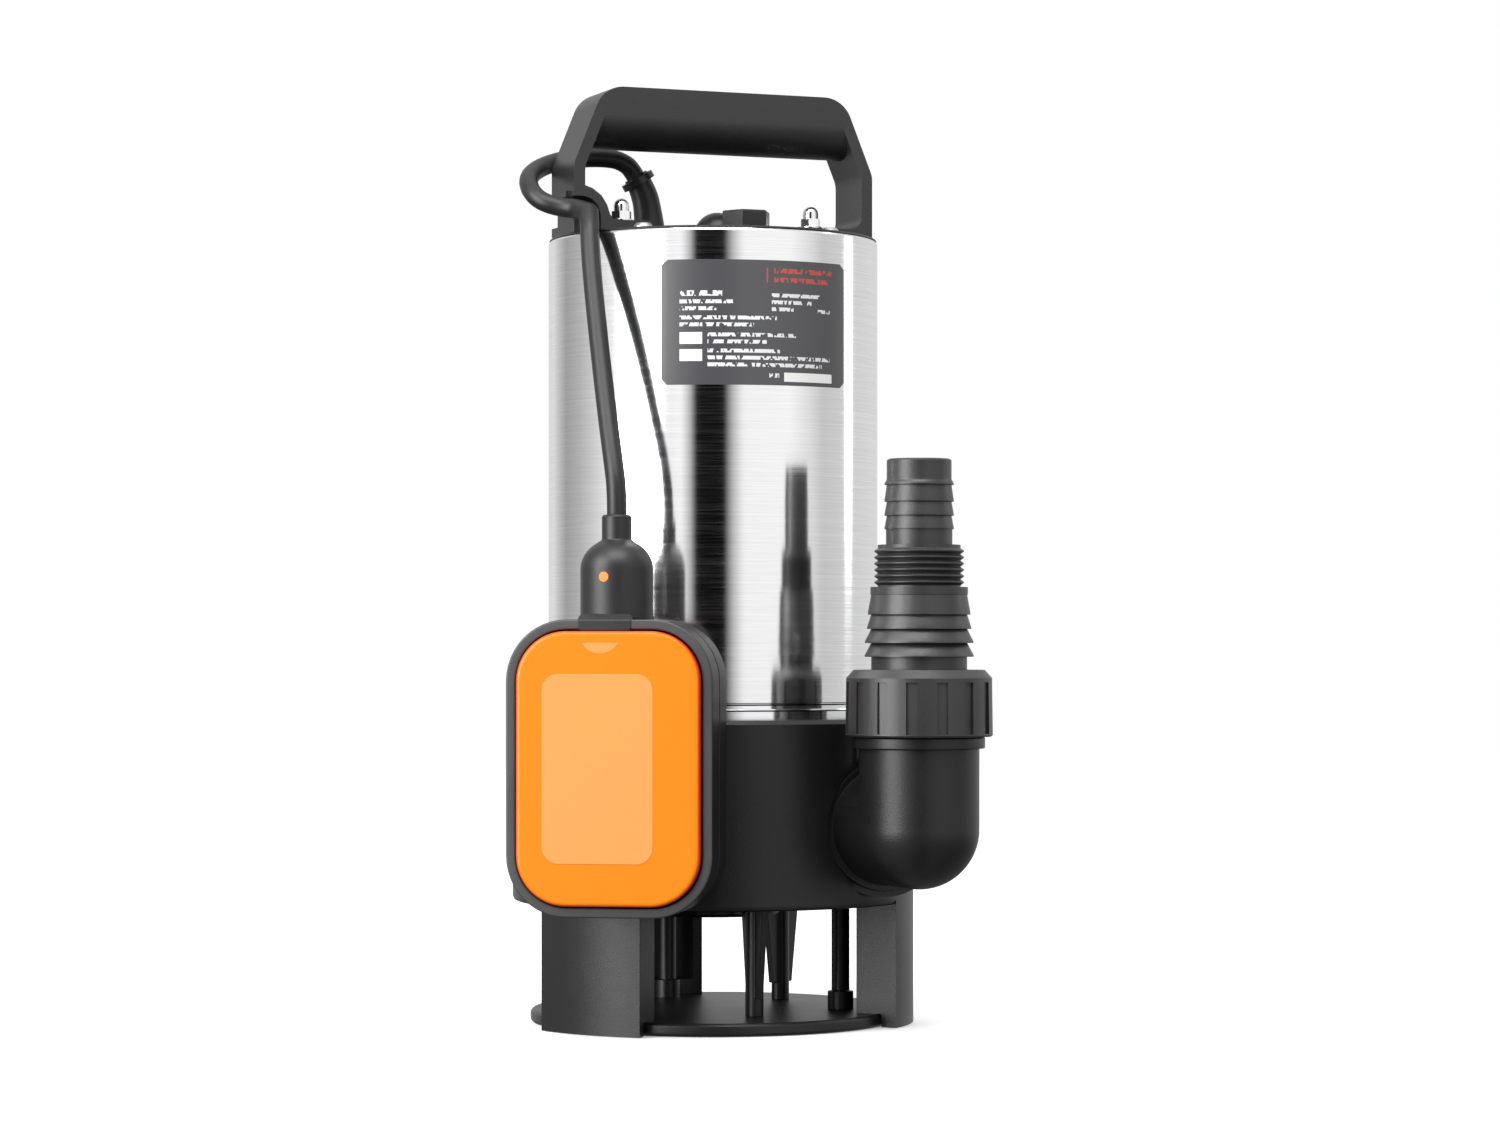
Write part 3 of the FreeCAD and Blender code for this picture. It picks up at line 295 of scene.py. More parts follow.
def brush_group():
    """Fine lines that run round an upright cylinder, for height, colour and roughness."""
    outputs = dict.fromkeys(("Height", "Shade"), "NodeSocketFloat")
    tree, given, result = node_group("brushed_lines", {"Lines": 1.0, "Streaks": 1.0}, outputs)
    fine = noise(tree, object_place(tree, (30, 30, 2200)), 1.0, 3.0, 0.7)
    wide = noise(tree, object_place(tree, (12, 12, 900)), 1.0, 4.0, 0.7)
    height = math_node(tree, "MULTIPLY", fine, given.outputs["Lines"])
    about_zero = math_node(tree, "SUBTRACT", wide, 0.5)
    shade = math_node(tree, "MULTIPLY_ADD", about_zero, given.outputs["Streaks"], 1.0)
    tree.links.new(height, result.inputs["Height"])
    tree.links.new(shade, result.inputs["Shade"])
    return tree


def colour_mix(tree, factor, first, second):
    """A colour between two, by a mask."""
    node = tree.nodes.new("ShaderNodeMix")
    node.data_type = "RGBA"
    tree.links.new(factor, node.inputs["Factor"])
    for socket, value in ((node.inputs["A"], first), (node.inputs["B"], second)):
        if isinstance(value, tuple):
            socket.default_value = (*value, 1)
        else:
            tree.links.new(value, socket)
    return node.outputs["Result"]


def material(name, **sockets):
    """A material with its Principled shader's plain values set."""
    made = bpy.data.materials.new(name)
    made.use_nodes = True
    shader = made.node_tree.nodes["Principled BSDF"]
    for label, value in sockets.items():
        shader.inputs[label.replace("_", " ")].default_value = value
    return made, made.node_tree, shader


def add_group(tree, group, **values):
    node = tree.nodes.new("ShaderNodeGroup")
    node.node_tree = group
    for label, value in values.items():
        node.inputs[label].default_value = value
    return node


def bump(tree, shader, height, distance, strength=1.0):
    node = tree.nodes.new("ShaderNodeBump")
    node.inputs["Distance"].default_value = distance
    node.inputs["Strength"].default_value = strength
    tree.links.new(height, node.inputs["Height"])
    tree.links.new(node.outputs["Normal"], shader.inputs["Normal"])


def grained(name, dark, light, rough, grain, mottle, depth, spread=0.12, dust=None, **sockets):
    """A moulded, cast or ground surface: grain in the normal, mottled colour and roughness, and some dust."""
    made, tree, shader = material(name, **sockets)
    group = add_group(tree, GRAIN, Grain=grain, Mottle=mottle, Depth=1.0)
    fade = math_node(tree, "MULTIPLY_ADD", group.outputs["Shade"], 2.0, -1.5)
    colour = colour_mix(tree, fade, dark, light)
    if dust:
        colour = colour_mix(tree, group.outputs["Dust"], colour, dust)
    tree.links.new(colour, shader.inputs["Base Color"])
    tree.links.new(math_node(tree, "MULTIPLY_ADD", group.outputs["Shade"], spread, rough - spread),
                   shader.inputs["Roughness"])
    bump(tree, shader, group.outputs["Height"], depth)
    return made


def brushed_steel():
    """The sleeve's steel, brushed round its axis, with two dark seams above the housing."""
    made, tree, shader = material("brushed_shell_steel", Metallic=1.0, Anisotropic=0.8,
                                  Anisotropic_Rotation=0.25)
    group = add_group(tree, BRUSH, Lines=1.0, Streaks=1.2)
    streak = math_node(tree, "MULTIPLY_ADD", group.outputs["Height"], 2.0, -0.4)
    shade = math_node(tree, "MULTIPLY", group.outputs["Shade"], streak)
    colour = colour_mix(tree, shade, (0.76, 0.76, 0.77), (0.92, 0.92, 0.93))
    split = tree.nodes.new("ShaderNodeSeparateXYZ")
    tree.links.new(object_place(tree), split.inputs["Vector"])
    for seam_height in (121.4, 123.6):
        off = math_node(tree, "ABSOLUTE", math_node(tree, "SUBTRACT", split.outputs["Z"], seam_height * MM))
        seam = math_node(tree, "LESS_THAN", off, 0.28 * MM)
        colour = colour_mix(tree, seam, colour, (0.03, 0.03, 0.03))
    tree.links.new(colour, shader.inputs["Base Color"])
    rough = math_node(tree, "MULTIPLY_ADD", group.outputs["Height"], 0.22, 0.02)
    tree.links.new(rough, shader.inputs["Roughness"])
    around = tree.nodes.new("ShaderNodeTangent")
    around.direction_type = "RADIAL"
    around.axis = "Z"
    tree.links.new(around.outputs["Tangent"], shader.inputs["Tangent"])
    bump(tree, shader, group.outputs["Height"], 0.000015, 0.5)
    return made


def lens_plastic(name, colour, edge):
    """Glossy, slightly clear plastic that deepens where it is seen at a slant."""
    made, tree, shader = material(name, Roughness=0.26, IOR=1.49, Coat_Weight=0.12, Coat_Roughness=0.08,
                                  Specular_IOR_Level=0.25, Subsurface_Weight=0.15, Subsurface_Scale=0.004)
    shader.inputs["Subsurface Radius"].default_value = (1.0, 0.35, 0.08)
    group = add_group(tree, GRAIN, Grain=300.0, Mottle=14.0, Depth=1.0)
    slant = tree.nodes.new("ShaderNodeLayerWeight")
    slant.inputs["Blend"].default_value = 0.35
    soft = math_node(tree, "MULTIPLY_ADD", group.outputs["Shade"], 0.5, -0.5)
    base = colour_mix(tree, soft, colour, tuple(min(1, part * 1.06 + 0.01) for part in colour))
    mixed = colour_mix(tree, math_node(tree, "MULTIPLY", slant.outputs["Facing"], 0.55), base, edge)
    tree.links.new(mixed, shader.inputs["Base Color"])
    bump(tree, shader, group.outputs["Height"], 0.00001, 0.4)
    return made


def box_mask(tree, across, up, low, high):
    """1 inside a rectangle of the label, in millimetres from its middle."""
    inside = [
        math_node(tree, "GREATER_THAN", across, low[0]),
        math_node(tree, "LESS_THAN", across, high[0]),
        math_node(tree, "GREATER_THAN", up, low[1]),
        math_node(tree, "LESS_THAN", up, high[1]),
    ]
    result = inside[0]
    for part in inside[1:]:
        result = math_node(tree, "MULTIPLY", result, part)
    return result


# The label's marks, each as its low and high corner in millimetres from the label's middle.
LABEL_ROWS = [
    ((-31, 9.8), (-15, 11.8)), ((-31, 7.0), (-11, 8.4)), ((-31, 4.4), (-17, 5.8)), ((-31, 1.0), (6, 2.4)),
    ((-31, -1.6), (-3, -0.2)), ((-20.5, -5.4), (14, -4.0)), ((-20.5, -8.0), (2, -6.6)),
    ((-20.5, -11.4), (8, -10.0)), ((-20.5, -14.0), (30, -12.6)), ((-20.5, -16.6), (26, -15.2)),
    ((4, 9.6), (25, 11.0)), ((4, 7.0), (21, 8.4)), ((4, 4.4), (13, 5.8)), ((24, 4.2), (30, 5.6)),
    ((3, -20.6), (7, -19.0)),
]
LABEL_PLATES = [((-31, -8.2), (-22.5, -3.8)), ((-31, -14.6), (-22.5, -10.2)), ((9, -22), (31, -18.6))]
LABEL_RED_ROWS = [((5, 18.6), (31, 20.4)), ((5, 15.2), (29, 17.0)), ((2, 15.0), (2.5, 20.6))]
LABEL_TURN = 95


def marks_mask(tree, across, up, boxes):
    """1 inside any of a list of rectangles of the label."""
    total = None
    for low, high in boxes:
        mask = box_mask(tree, across, up, low, high)
        total = mask if total is None else math_node(tree, "MAXIMUM", total, mask)
    return total


def label_film():
    """Dark film with blank plates, and broken bars where a maker would put words."""
    made, tree, shader = material("label_film", Roughness=0.32, Coat_Weight=0.25, Coat_Roughness=0.2)
    place = tree.nodes.new("ShaderNodeTexCoord")
    split = tree.nodes.new("ShaderNodeSeparateXYZ")
    tree.links.new(place.outputs["Object"], split.inputs["Vector"])
    middle = (LABEL_LOW.z + LABEL_HIGH.z) / 2
    radius = SHELL_RADIUS / MM
    up = math_node(tree, "MULTIPLY_ADD", split.outputs["Z"], 1 / MM, -middle / MM)
    angle = math_node(tree, "ARCTAN2", split.outputs["Y"], split.outputs["X"])
    across = math_node(tree, "MULTIPLY_ADD", angle, radius, radius * math.radians(LABEL_TURN))
    words = noise(tree, object_place(tree, (900, 900, 420)), 1.0, 0.0, 0.0)
    written = math_node(tree, "GREATER_THAN", words, 0.44)
    rows = math_node(tree, "MULTIPLY", marks_mask(tree, across, up, LABEL_ROWS), written)
    plates = marks_mask(tree, across, up, LABEL_PLATES)
    red = math_node(tree, "MULTIPLY", marks_mask(tree, across, up, LABEL_RED_ROWS), written)
    group = add_group(tree, GRAIN, Grain=3000.0, Mottle=20.0, Depth=1.0)
    film = colour_mix(tree, group.outputs["Shade"], (0.035, 0.035, 0.04), (0.055, 0.055, 0.06))
    ink = colour_mix(tree, math_node(tree, "MULTIPLY", rows, 0.85), film, (0.75, 0.75, 0.75))
    ink = colour_mix(tree, math_node(tree, "MULTIPLY", red, 0.8), ink, (0.55, 0.05, 0.03))
    tree.links.new(colour_mix(tree, plates, ink, (0.74, 0.74, 0.72)), shader.inputs["Base Color"])
    bump(tree, shader, group.outputs["Height"], 0.00002, 0.5)
    return made


def laminated(name, dark, light):
    """Stacked sheet steel: thin level layers."""
    made, tree, shader = material(name, Metallic=1.0)
    layers = tree.nodes.new("ShaderNodeTexWave")
    layers.bands_direction = "Z"
    layers.inputs["Scale"].default_value = 320
    layers.inputs["Distortion"].default_value = 0.4
    tree.links.new(object_place(tree), layers.inputs["Vector"])
    tree.links.new(colour_mix(tree, layers.outputs["Fac"], dark, light), shader.inputs["Base Color"])
    rough = math_node(tree, "MULTIPLY_ADD", layers.outputs["Fac"], 0.2, 0.35)
    tree.links.new(rough, shader.inputs["Roughness"])
    bump(tree, shader, layers.outputs["Fac"], 0.00008, 0.6)
    return made


def wound_copper():
    """Bundled enamelled wire that runs round the motor's axis."""
    made, tree, shader = material("wound_copper", Metallic=1.0, Coat_Weight=0.6, Coat_Roughness=0.2)
    turns = tree.nodes.new("ShaderNodeTexWave")
    turns.wave_type = "RINGS"
    turns.rings_direction = "Z"
    turns.inputs["Scale"].default_value = 260
    turns.inputs["Distortion"].default_value = 3
    turns.inputs["Detail Scale"].default_value = 1.2
    tree.links.new(object_place(tree), turns.inputs["Vector"])
    tree.links.new(colour_mix(tree, turns.outputs["Fac"], (0.20, 0.06, 0.02), (0.78, 0.34, 0.13)),
                   shader.inputs["Base Color"])
    rough = math_node(tree, "MULTIPLY_ADD", turns.outputs["Fac"], 0.15, 0.25)
    tree.links.new(rough, shader.inputs["Roughness"])
    bump(tree, shader, turns.outputs["Fac"], 0.0003, 0.7)
    return made


def plastics():
    """Moulded plastics and rubber."""
    black = (0.006, 0.006, 0.0063)
    lighter = (0.012, 0.012, 0.0126)
    return {
        "black_plastic": grained("black_moulding", black, lighter, 0.37, 1900, 40, 0.00005,
                                 dust=(0.03, 0.03, 0.03), Specular_IOR_Level=0.38),
        "outlet_plastic": grained("outlet_moulding", (0.014, 0.014, 0.0145), (0.025, 0.025, 0.026), 0.40,
                                  1900, 40, 0.00005, dust=(0.045, 0.045, 0.045), Specular_IOR_Level=0.58),
        "handle_plastic": grained("handle_moulding", (0.009, 0.009, 0.0095), (0.017, 0.017, 0.018), 0.38,
                                  1500, 30, 0.00007, Specular_IOR_Level=0.55),
        "black_rubber": grained("boot_rubber", (0.008, 0.008, 0.0085), (0.016, 0.016, 0.017), 0.42,
                                1300, 60, 0.00004, Specular_IOR_Level=0.45),
        "cable_jacket": grained("cable_jacket", (0.008, 0.008, 0.009), (0.015, 0.015, 0.016), 0.42,
                                900, 90, 0.00003, Specular_IOR_Level=0.4),
        "float_plastic": grained("float_moulding", black, lighter, 0.40, 2200, 30, 0.00003,
                                 Specular_IOR_Level=0.35),
        # Painted highlight: a paler copy of the float plastic, for the front faces of the float's rim.
        "float_rim": grained("float_rim", (0.030, 0.030, 0.031), (0.052, 0.052, 0.054), 0.43,
                             2200, 30, 0.00003),
        "orange_lens": lens_plastic("orange_lens", (0.72, 0.185, 0.002), (0.68, 0.080, 0.001)),
        "lens_panel": lens_plastic("lens_panel", (0.76, 0.265, 0.070), (0.74, 0.17, 0.022)),
        "lens_edge": lens_plastic("lens_edge", (0.72, 0.085, 0.004), (0.60, 0.022, 0.002)),
        "capacitor_case": grained("capacitor_case", (0.66, 0.66, 0.64), (0.78, 0.78, 0.76), 0.3,
                                  900, 30, 0.00002),
        "cage_plastic": grained("natural_nylon", (0.60, 0.58, 0.53), (0.74, 0.72, 0.67), 0.45,
                                1100, 40, 0.00003, Subsurface_Weight=0.2),
        "tie_nylon": grained("tie_nylon", (0.010, 0.010, 0.010), (0.018, 0.018, 0.018), 0.35,
                             1400, 60, 0.00003),
    }


def metals_and_seals():
    """Steels, copper, castings and the shaft seal's two faces."""
    return {
        "shell_steel": brushed_steel(),
        "nut_chrome": grained("nut_chrome", (0.80, 0.80, 0.81), (0.90, 0.90, 0.91), 0.12,
                              800, 120, 0.00001, 0.05, Metallic=1.0),
        "screw_steel": grained("turned_steel", (0.45, 0.45, 0.46), (0.66, 0.66, 0.67), 0.34,
                               600, 90, 0.00002, Metallic=1.0),
        "bearing_steel": grained("ground_steel", (0.66, 0.66, 0.68), (0.80, 0.80, 0.82), 0.16,
                                 700, 80, 0.00001, 0.05, Metallic=1.0),
        "lamination_steel": laminated("stacked_sheet", (0.10, 0.10, 0.11), (0.40, 0.40, 0.43)),
        "copper_winding": wound_copper(),
        "rotor_aluminium": grained("rotor_casting", (0.55, 0.56, 0.58), (0.74, 0.75, 0.77), 0.42,
                                   500, 60, 0.00008, Metallic=1.0),
        "bracket_cast": grained("bracket_casting", (0.42, 0.43, 0.45), (0.62, 0.63, 0.65), 0.5,
                                400, 50, 0.00012, Metallic=1.0),
        "seal_carbon": grained("seal_carbon", (0.03, 0.03, 0.032), (0.07, 0.07, 0.075), 0.3,
                               1200, 60, 0.00002),
        "seal_ceramic": grained("seal_ceramic", (0.70, 0.69, 0.66), (0.82, 0.81, 0.78), 0.18,
                                900, 50, 0.00001),
    }


# ------------------------------------------------------------------ modelling helpers
def deselect():
    if bpy.context.mode != "OBJECT":
        bpy.ops.object.mode_set(mode="OBJECT")
    bpy.ops.object.select_all(action="DESELECT")


def choose(piece):
    deselect()
    piece.select_set(True)
    bpy.context.view_layer.objects.active = piece


def edit(piece, mode="FACE"):
    choose(piece)
    bpy.ops.object.mode_set(mode="EDIT")
    bpy.ops.mesh.select_mode(type=mode)
    bpy.ops.mesh.select_all(action="DESELECT")


def done_editing():
    bpy.ops.object.mode_set(mode="OBJECT")


def select_where(piece, kind, test):
    """Selects faces or edges, in edit mode, whose middle and normal (or direction) pass a test."""
    bpy.ops.object.mode_set(mode="OBJECT")
    mesh = piece.data
    items = mesh.polygons if kind == "FACE" else mesh.edges
    for group in (mesh.vertices, mesh.edges, mesh.polygons):
        group.foreach_set("select", [False] * len(group))
    for item in items:
        if kind == "FACE":
            item.select = test(item.center, item.normal)
        else:
            ends = [mesh.vertices[index].co for index in item.vertices]
            item.select = test((ends[0] + ends[1]) / 2, (ends[1] - ends[0]).normalized())
    bpy.ops.object.mode_set(mode="EDIT")


def settle(piece, name, matrix=None):
    """Names a piece and puts its place into its mesh."""
    choose(piece)
    piece.name = name
    piece.data.name = name
    if matrix is not None:
        piece.matrix_world = matrix @ piece.matrix_world
    bpy.ops.object.transform_apply(location=True, rotation=True, scale=True)
    return piece


def apply_bevel(piece, width, segments=2, angle=30):
    choose(piece)
    bevel = piece.modifiers.new("edges", "BEVEL")
    bevel.width = width
    bevel.segments = segments
    bevel.limit_method = "ANGLE"
    bevel.angle_limit = math.radians(angle)
    bevel.miter_outer = "MITER_ARC"
    bevel.harden_normals = False
    bpy.ops.object.modifier_apply(modifier=bevel.name)


def smooth(piece, angle=35):
    """Smooth shading with sharp edges kept, in which large flat faces stay flat."""
    choose(piece)
    bpy.ops.object.shade_smooth_by_angle(angle=math.radians(angle))
    weighted = piece.modifiers.new("flat_faces", "WEIGHTED_NORMAL")
    weighted.keep_sharp = True
    bpy.ops.object.modifier_apply(modifier=weighted.name)


def finish_piece(piece, body, finish, nodes=()):
    """Gives a piece its material and its body, and hides the nodes that it stands for."""
    piece.data.materials.clear()
    piece.data.materials.append(MATERIALS[finish])
    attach(piece, body)
    if nodes:
        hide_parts(*nodes)
    return piece


def eased(node, name, width, segments):
    """A copy of a CAD node with its edges eased, which stands for the node."""
    source = frame["nodes"][node]
    piece = source.copy()
    piece.data = source.data.copy()
    for key in list(piece.keys()):
        del piece[key]
    piece.parent = None
    bpy.context.collection.objects.link(piece)
    settle(piece, name)
    edit(piece, "VERT")
    bpy.ops.mesh.select_all(action="SELECT")
    bpy.ops.mesh.customdata_custom_splitnormals_clear()
    bpy.ops.mesh.remove_doubles(threshold=0.000002)
    bpy.ops.mesh.dissolve_limited(angle_limit=math.radians(0.6))
    done_editing()
    apply_bevel(piece, width * MM, segments, angle=32)
    smooth(piece)
    return piece


def round_outline(across, tall, middle, angles):
    """Points of a round stretch of an outline, by the angles in degrees above its middle."""
    turns = [math.radians(angle) for angle in angles]
    return [(across * math.cos(turn), middle + tall * math.sin(turn)) for turn in turns]


def turned(name, outline, centre, segments):
    """A piece turned about an upright axis from an outline of (radius, height) in millimetres."""
    radius, height = outline[0]
    deselect()
    bpy.ops.mesh.primitive_circle_add(vertices=segments, radius=max(radius, POLE_RADIUS) * MM,
                                      fill_type="NOTHING",
                                      location=(centre.x, centre.y, centre.z + height * MM))
    piece = bpy.context.active_object
    settle(piece, name)
    bpy.ops.object.mode_set(mode="EDIT")
    bpy.ops.mesh.select_all(action="SELECT")
    for next_radius, next_height in outline[1:]:
        bpy.ops.mesh.extrude_region_move(
            TRANSFORM_OT_translate={"value": (0, 0, (next_height - height) * MM)})
        ratio = max(next_radius, POLE_RADIUS) / max(radius, POLE_RADIUS)
        bpy.ops.transform.resize(value=(ratio, ratio, 1), center_override=(centre.x, centre.y, 0))
        radius, height = next_radius, next_height
    bpy.ops.mesh.select_all(action="SELECT")
    bpy.ops.mesh.remove_doubles(threshold=0.00003)
    bpy.ops.mesh.normals_make_consistent(inside=False)
    done_editing()
    return piece


def slab(name, width, tall, low, high, corner, steps=12):
    """A block with round upright edges in the float's own frame, from its low face to its high one."""
    deselect()
    bpy.ops.mesh.primitive_cube_add(size=1, location=(0, 0, (low + high) / 2 * MM))
    piece = bpy.context.active_object
    piece.scale = (width * MM, tall * MM, (high - low) * MM)
    settle(piece, name)
    edit(piece, "EDGE")
    select_where(piece, "EDGE", lambda middle, along: abs(along.z) > 0.9)
    bpy.ops.mesh.bevel(offset=corner * MM, segments=steps, affect="EDGES")
    done_editing()
    return piece


def front_face(piece):
    """Selects the flat front of a slab."""
    high = max(vertex.co.z for vertex in piece.data.vertices)
    select_where(piece, "FACE", lambda middle, normal: normal.z > 0.9 and middle.z > high - 1e-5)


def curve_piece(name, route, radius, material_name, radii=None):
    """A round cord on a smooth spline whose control points are the route's, in millimetres."""
    data = bpy.data.curves.new(name, "CURVE")
    data.dimensions = "3D"
    data.bevel_depth = radius * MM
    data.bevel_resolution = 8
    data.resolution_u = 16
    data.use_fill_caps = True
    spline = data.splines.new("NURBS")
    spline.points.add(len(route) - 1)
    for index, (point, spot) in enumerate(zip(spline.points, route)):
        point.co = (spot[0] * MM, spot[1] * MM, spot[2] * MM, 1)
        point.radius = radii[index] if radii else 1
    spline.order_u = 3
    spline.use_endpoint_u = True
    piece = bpy.data.objects.new(name, data)
    bpy.context.collection.objects.link(piece)
    data.materials.append(MATERIALS[material_name])
    return piece


# ------------------------------------------------------------------ cable
def make_cables():
    loop = curve_piece("float_cable_up_to_clip", CABLE_LOOP, CABLE_RADIUS, "cable_jacket")
    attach(loop, "pump")
    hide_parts("float_cable_loop")
    drop = curve_piece("float_cable_below_clip", CABLE_DROP, CABLE_RADIUS, "cable_jacket")
    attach(drop, "float")
    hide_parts("float_cable_drop")


def make_guide():
    """The rubber guide that bends with the cable where it leaves the lid."""
    taper = (1.16, 1.0, 0.95, 0.86)
    guide = curve_piece("float_cable_guide_sleeve", GUIDE_ROUTE, GUIDE_RADIUS, "black_rubber", taper)
    choose(guide)
    bpy.ops.object.convert(target="MESH")
    guide = bpy.context.active_object
    smooth(guide, 40)
    finish_piece(guide, "pump", "black_rubber", ["float_cable_guide"])


def make_cable_bend():
    """The cable's rounded bend in the clip, which fills the corner between its two lengths at every pose."""
    middle = Vector(CABLE_DROP[0]) * MM
    outline = round_outline(CABLE_RADIUS, CABLE_RADIUS, 0, range(-90, 91, 10))
    bend = turned("float_cable_bend", outline, middle, 36)
    smooth(bend, 60)
    finish_piece(bend, "pump", "cable_jacket")


# ------------------------------------------------------------------ float
def float_side(flip):
    """The place of one side of the float: the front, or the back turned half round."""
    side = Matrix.Rotation(math.pi, 4, "Y") if flip else Matrix.Identity(4)
    return FLOAT_FRAME @ side


def float_shell(name, node, flip):
    """One half of the float's case, hollow behind and recessed in front, with a painted highlight on its rim:
    the rim's front faces get a paler copy of the float plastic.
    """
    shell = slab(name, FLOAT_WIDTH, FLOAT_TALL, SHELL_BACK, RIM_FRONT, FLOAT_CORNER)
    edit(shell, "FACE")
    front_face(shell)
    bpy.ops.mesh.inset(thickness=RIM_WIDTH * MM)
    bpy.ops.mesh.extrude_region_move(TRANSFORM_OT_translate={"value": (0, 0, -LENS_RECESS * MM)})
    back = (SHELL_BACK + 0.2) * MM
    select_where(shell, "FACE", lambda middle, normal: normal.z < -0.9 and middle.z < back)
    bpy.ops.mesh.inset(thickness=SHELL_WALL * MM)
    bpy.ops.mesh.extrude_region_move(TRANSFORM_OT_translate={"value": (0, 0, SHELL_HOLLOW * MM)})
    done_editing()
    apply_bevel(shell, 0.7 * MM, 3, angle=40)
    smooth(shell, 40)
    place = float_side(flip)
    settle(shell, name, place)
    finish_piece(shell, "float", "float_plastic", [node])
    # Painted highlight: the rim's front-facing faces get the paler copy of the float plastic.
    shell.data.materials.append(MATERIALS["float_rim"])
    out = place.to_3x3() @ Z_UP
    front = max((vertex.co - FLOAT_CENTRE).dot(out) for vertex in shell.data.vertices)
    for face in shell.data.polygons:
        near = (face.center - FLOAT_CENTRE).dot(out) > front - 0.4 * MM
        face.material_index = 1 if near and face.normal.dot(out) > 0.5 else 0


def float_lens(name, node, flip):
    """The orange lens: a flat face with a wide convex rim."""
    lens = slab(name, LENS_WIDTH, LENS_TALL, 10.1, LENS_FRONT, LENS_CORNER)
    edit(lens, "EDGE")
    select_where(lens, "EDGE", lambda middle, along: middle.z > LENS_FRONT * MM - 1e-5)
    bpy.ops.mesh.bevel(offset=1.8 * MM, segments=5, affect="EDGES", profile=0.6)
    done_editing()
    smooth(lens, 40)
    place = float_side(flip)
    settle(lens, name, place)
    finish_piece(lens, "float", "orange_lens", [node])
    lens.data.materials.append(MATERIALS["lens_edge"])
    out = place.to_3x3() @ Z_UP
    for face in lens.data.polygons:
        face.material_index = 0 if face.normal.dot(out) > 0.88 else 1
    return place


def lens_details(suffix, place):
    """The raised panel and the small half-round mark on a lens."""
    panel = slab("lens_panel_" + suffix, 41, 69, LENS_FRONT - 0.4, LENS_FRONT + 0.18, 6, 8)
    apply_bevel(panel, 0.15 * MM, 2)
    smooth(panel, 40)
    settle(panel, "lens_panel_" + suffix, place @ Matrix.Translation((-3.6 * MM, 0, 0)))
    finish_piece(panel, "float", "lens_panel")
    deselect()
    bpy.ops.mesh.primitive_cylinder_add(vertices=64, radius=7.8 * MM, depth=0.4 * MM,
                                        location=(-2.6 * MM, 49.6 * MM, (LENS_FRONT - 0.08) * MM))
    mark = bpy.context.active_object
    settle(mark, "lens_mark_" + suffix)
    edit(mark, "VERT")
    bpy.ops.mesh.select_all(action="SELECT")
    bpy.ops.mesh.bisect(plane_co=(0, 45.8 * MM, 0), plane_no=(0, 1, 0), use_fill=True, clear_outer=True)
    done_editing()
    apply_bevel(mark, 0.12 * MM, 2)
    smooth(mark, 40)
    settle(mark, "lens_mark_" + suffix, place)
    finish_piece(mark, "float", "lens_panel")


def float_boot():
    """The domed rubber boot and its neck, moulded on the cable."""
    base = Vector((FLOAT_CENTRE.x, FLOAT_CENTRE.y, BOOT_LOW.z))
    top = (BOOT_HIGH.z - BOOT_LOW.z) / MM
    outline = [(0, 0), (BOOT_RADIUS, 0), (BOOT_RADIUS, 9), (BOOT_RADIUS, top - 20)]
    outline += round_outline(BOOT_RADIUS, 11.4, top - 20, range(8, 62, 6))
    outline += [(NECK_RADIUS + 0.2, top - 9.4), (NECK_RADIUS, top - 8.8), (NECK_RADIUS, top - 0.8)]
    outline += [(NECK_RADIUS - 0.6, top - 0.1), (0, top)]
    boot = turned("float_cable_boot", outline, base, 72)
    smooth(boot, 40)
    finish_piece(boot, "float", "black_rubber", ["float_boot"])


def boot_foot(name, flip):
    """The boot's flared foot, which laps over the rim of one shell."""
    foot = slab(name, 20, 6.2, 10, RIM_FRONT + 0.2, 1.6, 5)
    settle(foot, name, Matrix.Translation((-1.5 * MM, 53.3 * MM, 0)))
    edit(foot, "VERT")
    bpy.ops.mesh.select_all(action="SELECT")
    bpy.ops.mesh.bisect(plane_co=(0, 56.4 * MM, 13 * MM), plane_no=(0, 0.81, 0.59), use_fill=True,
                        clear_outer=True)
    done_editing()
    apply_bevel(foot, 0.35 * MM, 3)
    smooth(foot, 45)
    settle(foot, name, float_side(flip))
    finish_piece(foot, "float", "black_rubber")


def make_float():
    float_shell("float_front_shell", "float_shell_front", False)
    float_shell("float_back_shell", "float_shell_back", True)
    place = float_lens("float_front_lens", "float_lens_front", False)
    lens_details("front", place)
    place = float_lens("float_back_lens", "float_lens_back", True)
    lens_details("back", place)
    float_boot()
    boot_foot("boot_foot_front", False)
    boot_foot("boot_foot_back", True)


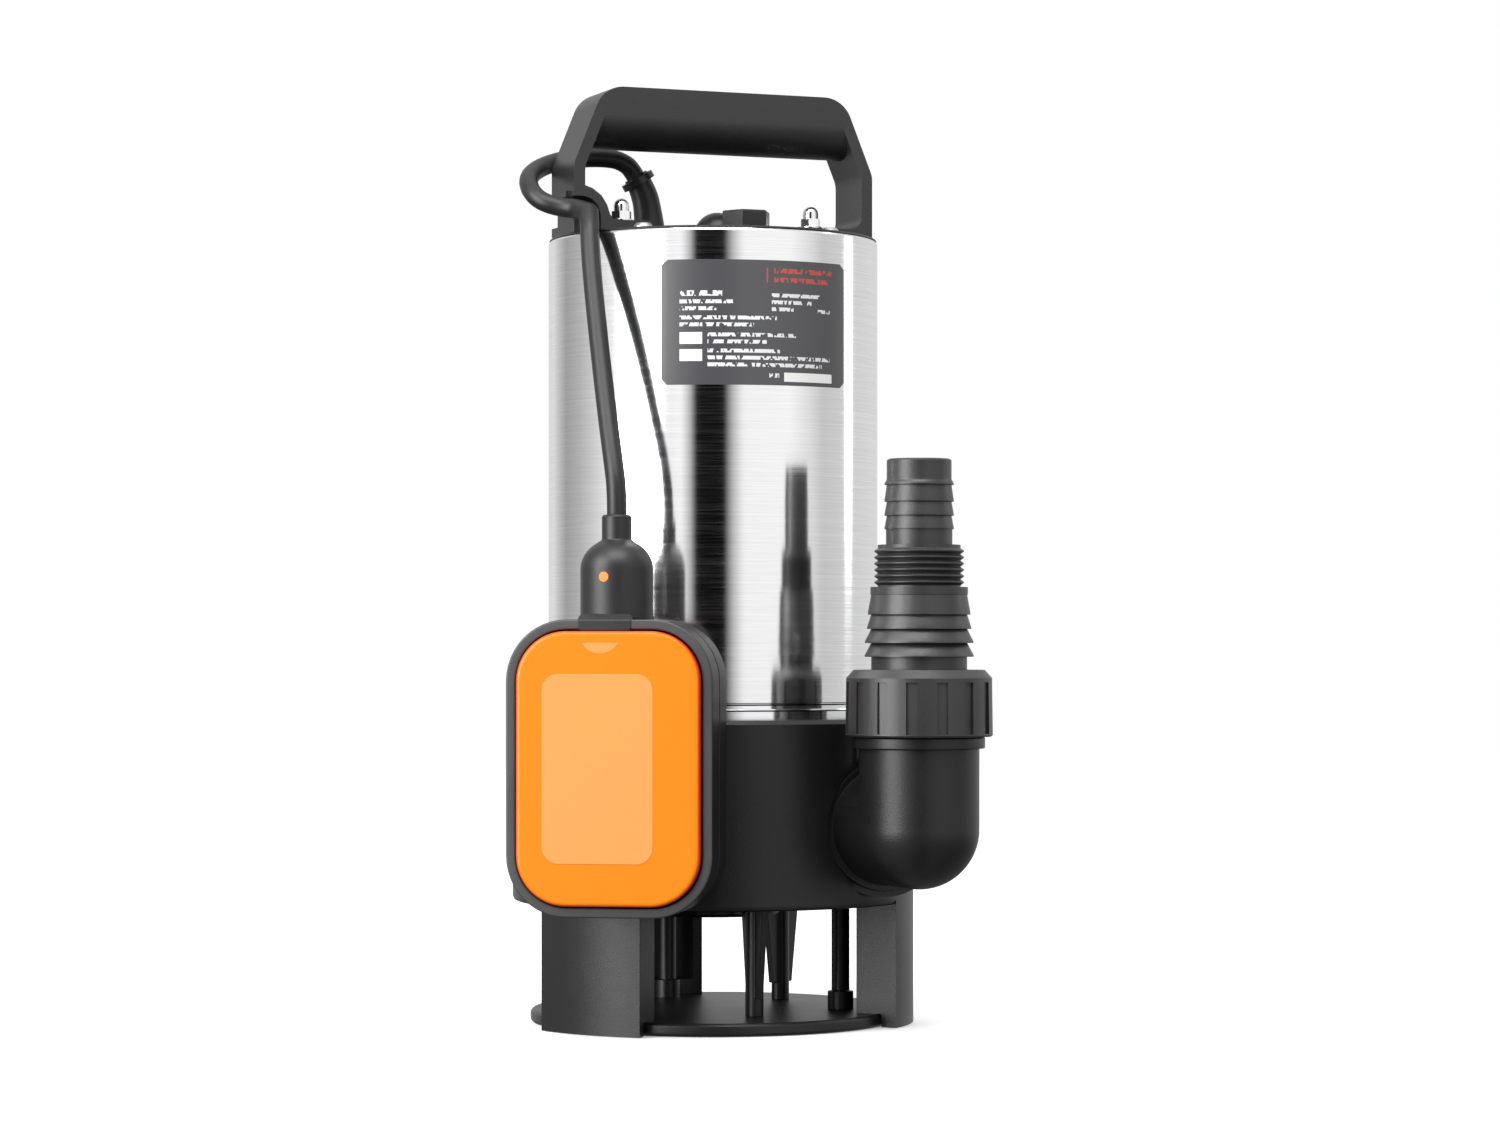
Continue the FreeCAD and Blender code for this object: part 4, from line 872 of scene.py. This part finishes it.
# ------------------------------------------------------------------ pump
# Nodes whose edges are eased: node, body, finish, width of the easing in millimetres, and its segments.
EASED_NODES = [
    ("pump_housing", "pump", "black_plastic", 0.6, 3),
    ("base_plate", "pump", "black_plastic", 0.3, 2),
    ("suction_plate", "pump", "black_plastic", 0.4, 2),
    ("discharge_elbow", "pump", "black_plastic", 0.4, 2),
    ("hose_adapter", "pump", "outlet_plastic", 0.15, 2),
    ("union_nut", "union", "outlet_plastic", 0.45, 3),
    ("carry_handle", "pump", "handle_plastic", 1.2, 3),
    ("motor_lid", "pump", "black_plastic", 0.2, 2),
    ("mains_gland_nut", "pump", "black_plastic", 0.35, 2),
    ("mains_gland_body", "pump", "black_plastic", 0.2, 2),
    ("float_cable_gland", "pump", "black_plastic", 0.2, 2),
    ("cable_tie", "pump", "tie_nylon", 0.25, 2),
    ("handle_cap_nuts", "pump", "nut_chrome", 0.15, 2),
    ("lid_tie_screws", "pump", "screw_steel", 0.15, 2),
    ("base_screws", "pump", "screw_steel", 0.1, 2),
    ("boot_plug", "float", "orange_lens", 0.2, 2),
]


def make_pump():
    for node, body, finish, width, segments in EASED_NODES:
        piece = eased(node, node + "_eased", width, segments)
        finish_piece(piece, body, finish, [node])


def vent_dome():
    """The low domed plug on the lid behind the mains gland."""
    base = Vector((2.6 * MM, 2 * MM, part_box("vent_plug")[0].z))
    dome_radius = 9.2
    dome_middle = 2.6
    outline = [(0, 0), (9.6, 0), (9.6, 2.2)]
    outline += round_outline(dome_radius, dome_radius, dome_middle, range(0, 88, 8))
    outline += [(0, dome_middle + dome_radius)]
    dome = turned("vent_dome", outline, base, 48)
    smooth(dome, 40)
    finish_piece(dome, "pump", "black_plastic", ["vent_plug"])


def paint_frame():
    """Every CAD node that still shows gets its slot's material."""
    slots = {entry["node"]: entry["material_slot"] for entry in frame["record"]["subparts"]}
    for name, node in frame["nodes"].items():
        for holder in node.material_slots:
            holder.material = MATERIALS[slots[name]]


GRAIN = grain_group()
BRUSH = brush_group()
MATERIALS = {**plastics(), **metals_and_seals(), "label_film": label_film()}
make_camera()
make_cables()
make_world()
area_light("left_softbox", azimuth=-163, elevation=16, distance=1.5, width=0.9, height=1.5, power=34)
area_light("right_softbox", azimuth=-4, elevation=24, distance=1.6, width=0.25, height=1.3, power=2)
area_light("top_softbox", azimuth=-112, elevation=58, distance=1.6, width=1.1, height=0.9, power=22)
make_floor()
make_guide()
make_cable_bend()
make_float()
make_pump()
vent_dome()
paint_frame()

bpy.context.scene.view_settings.view_transform = "Standard"
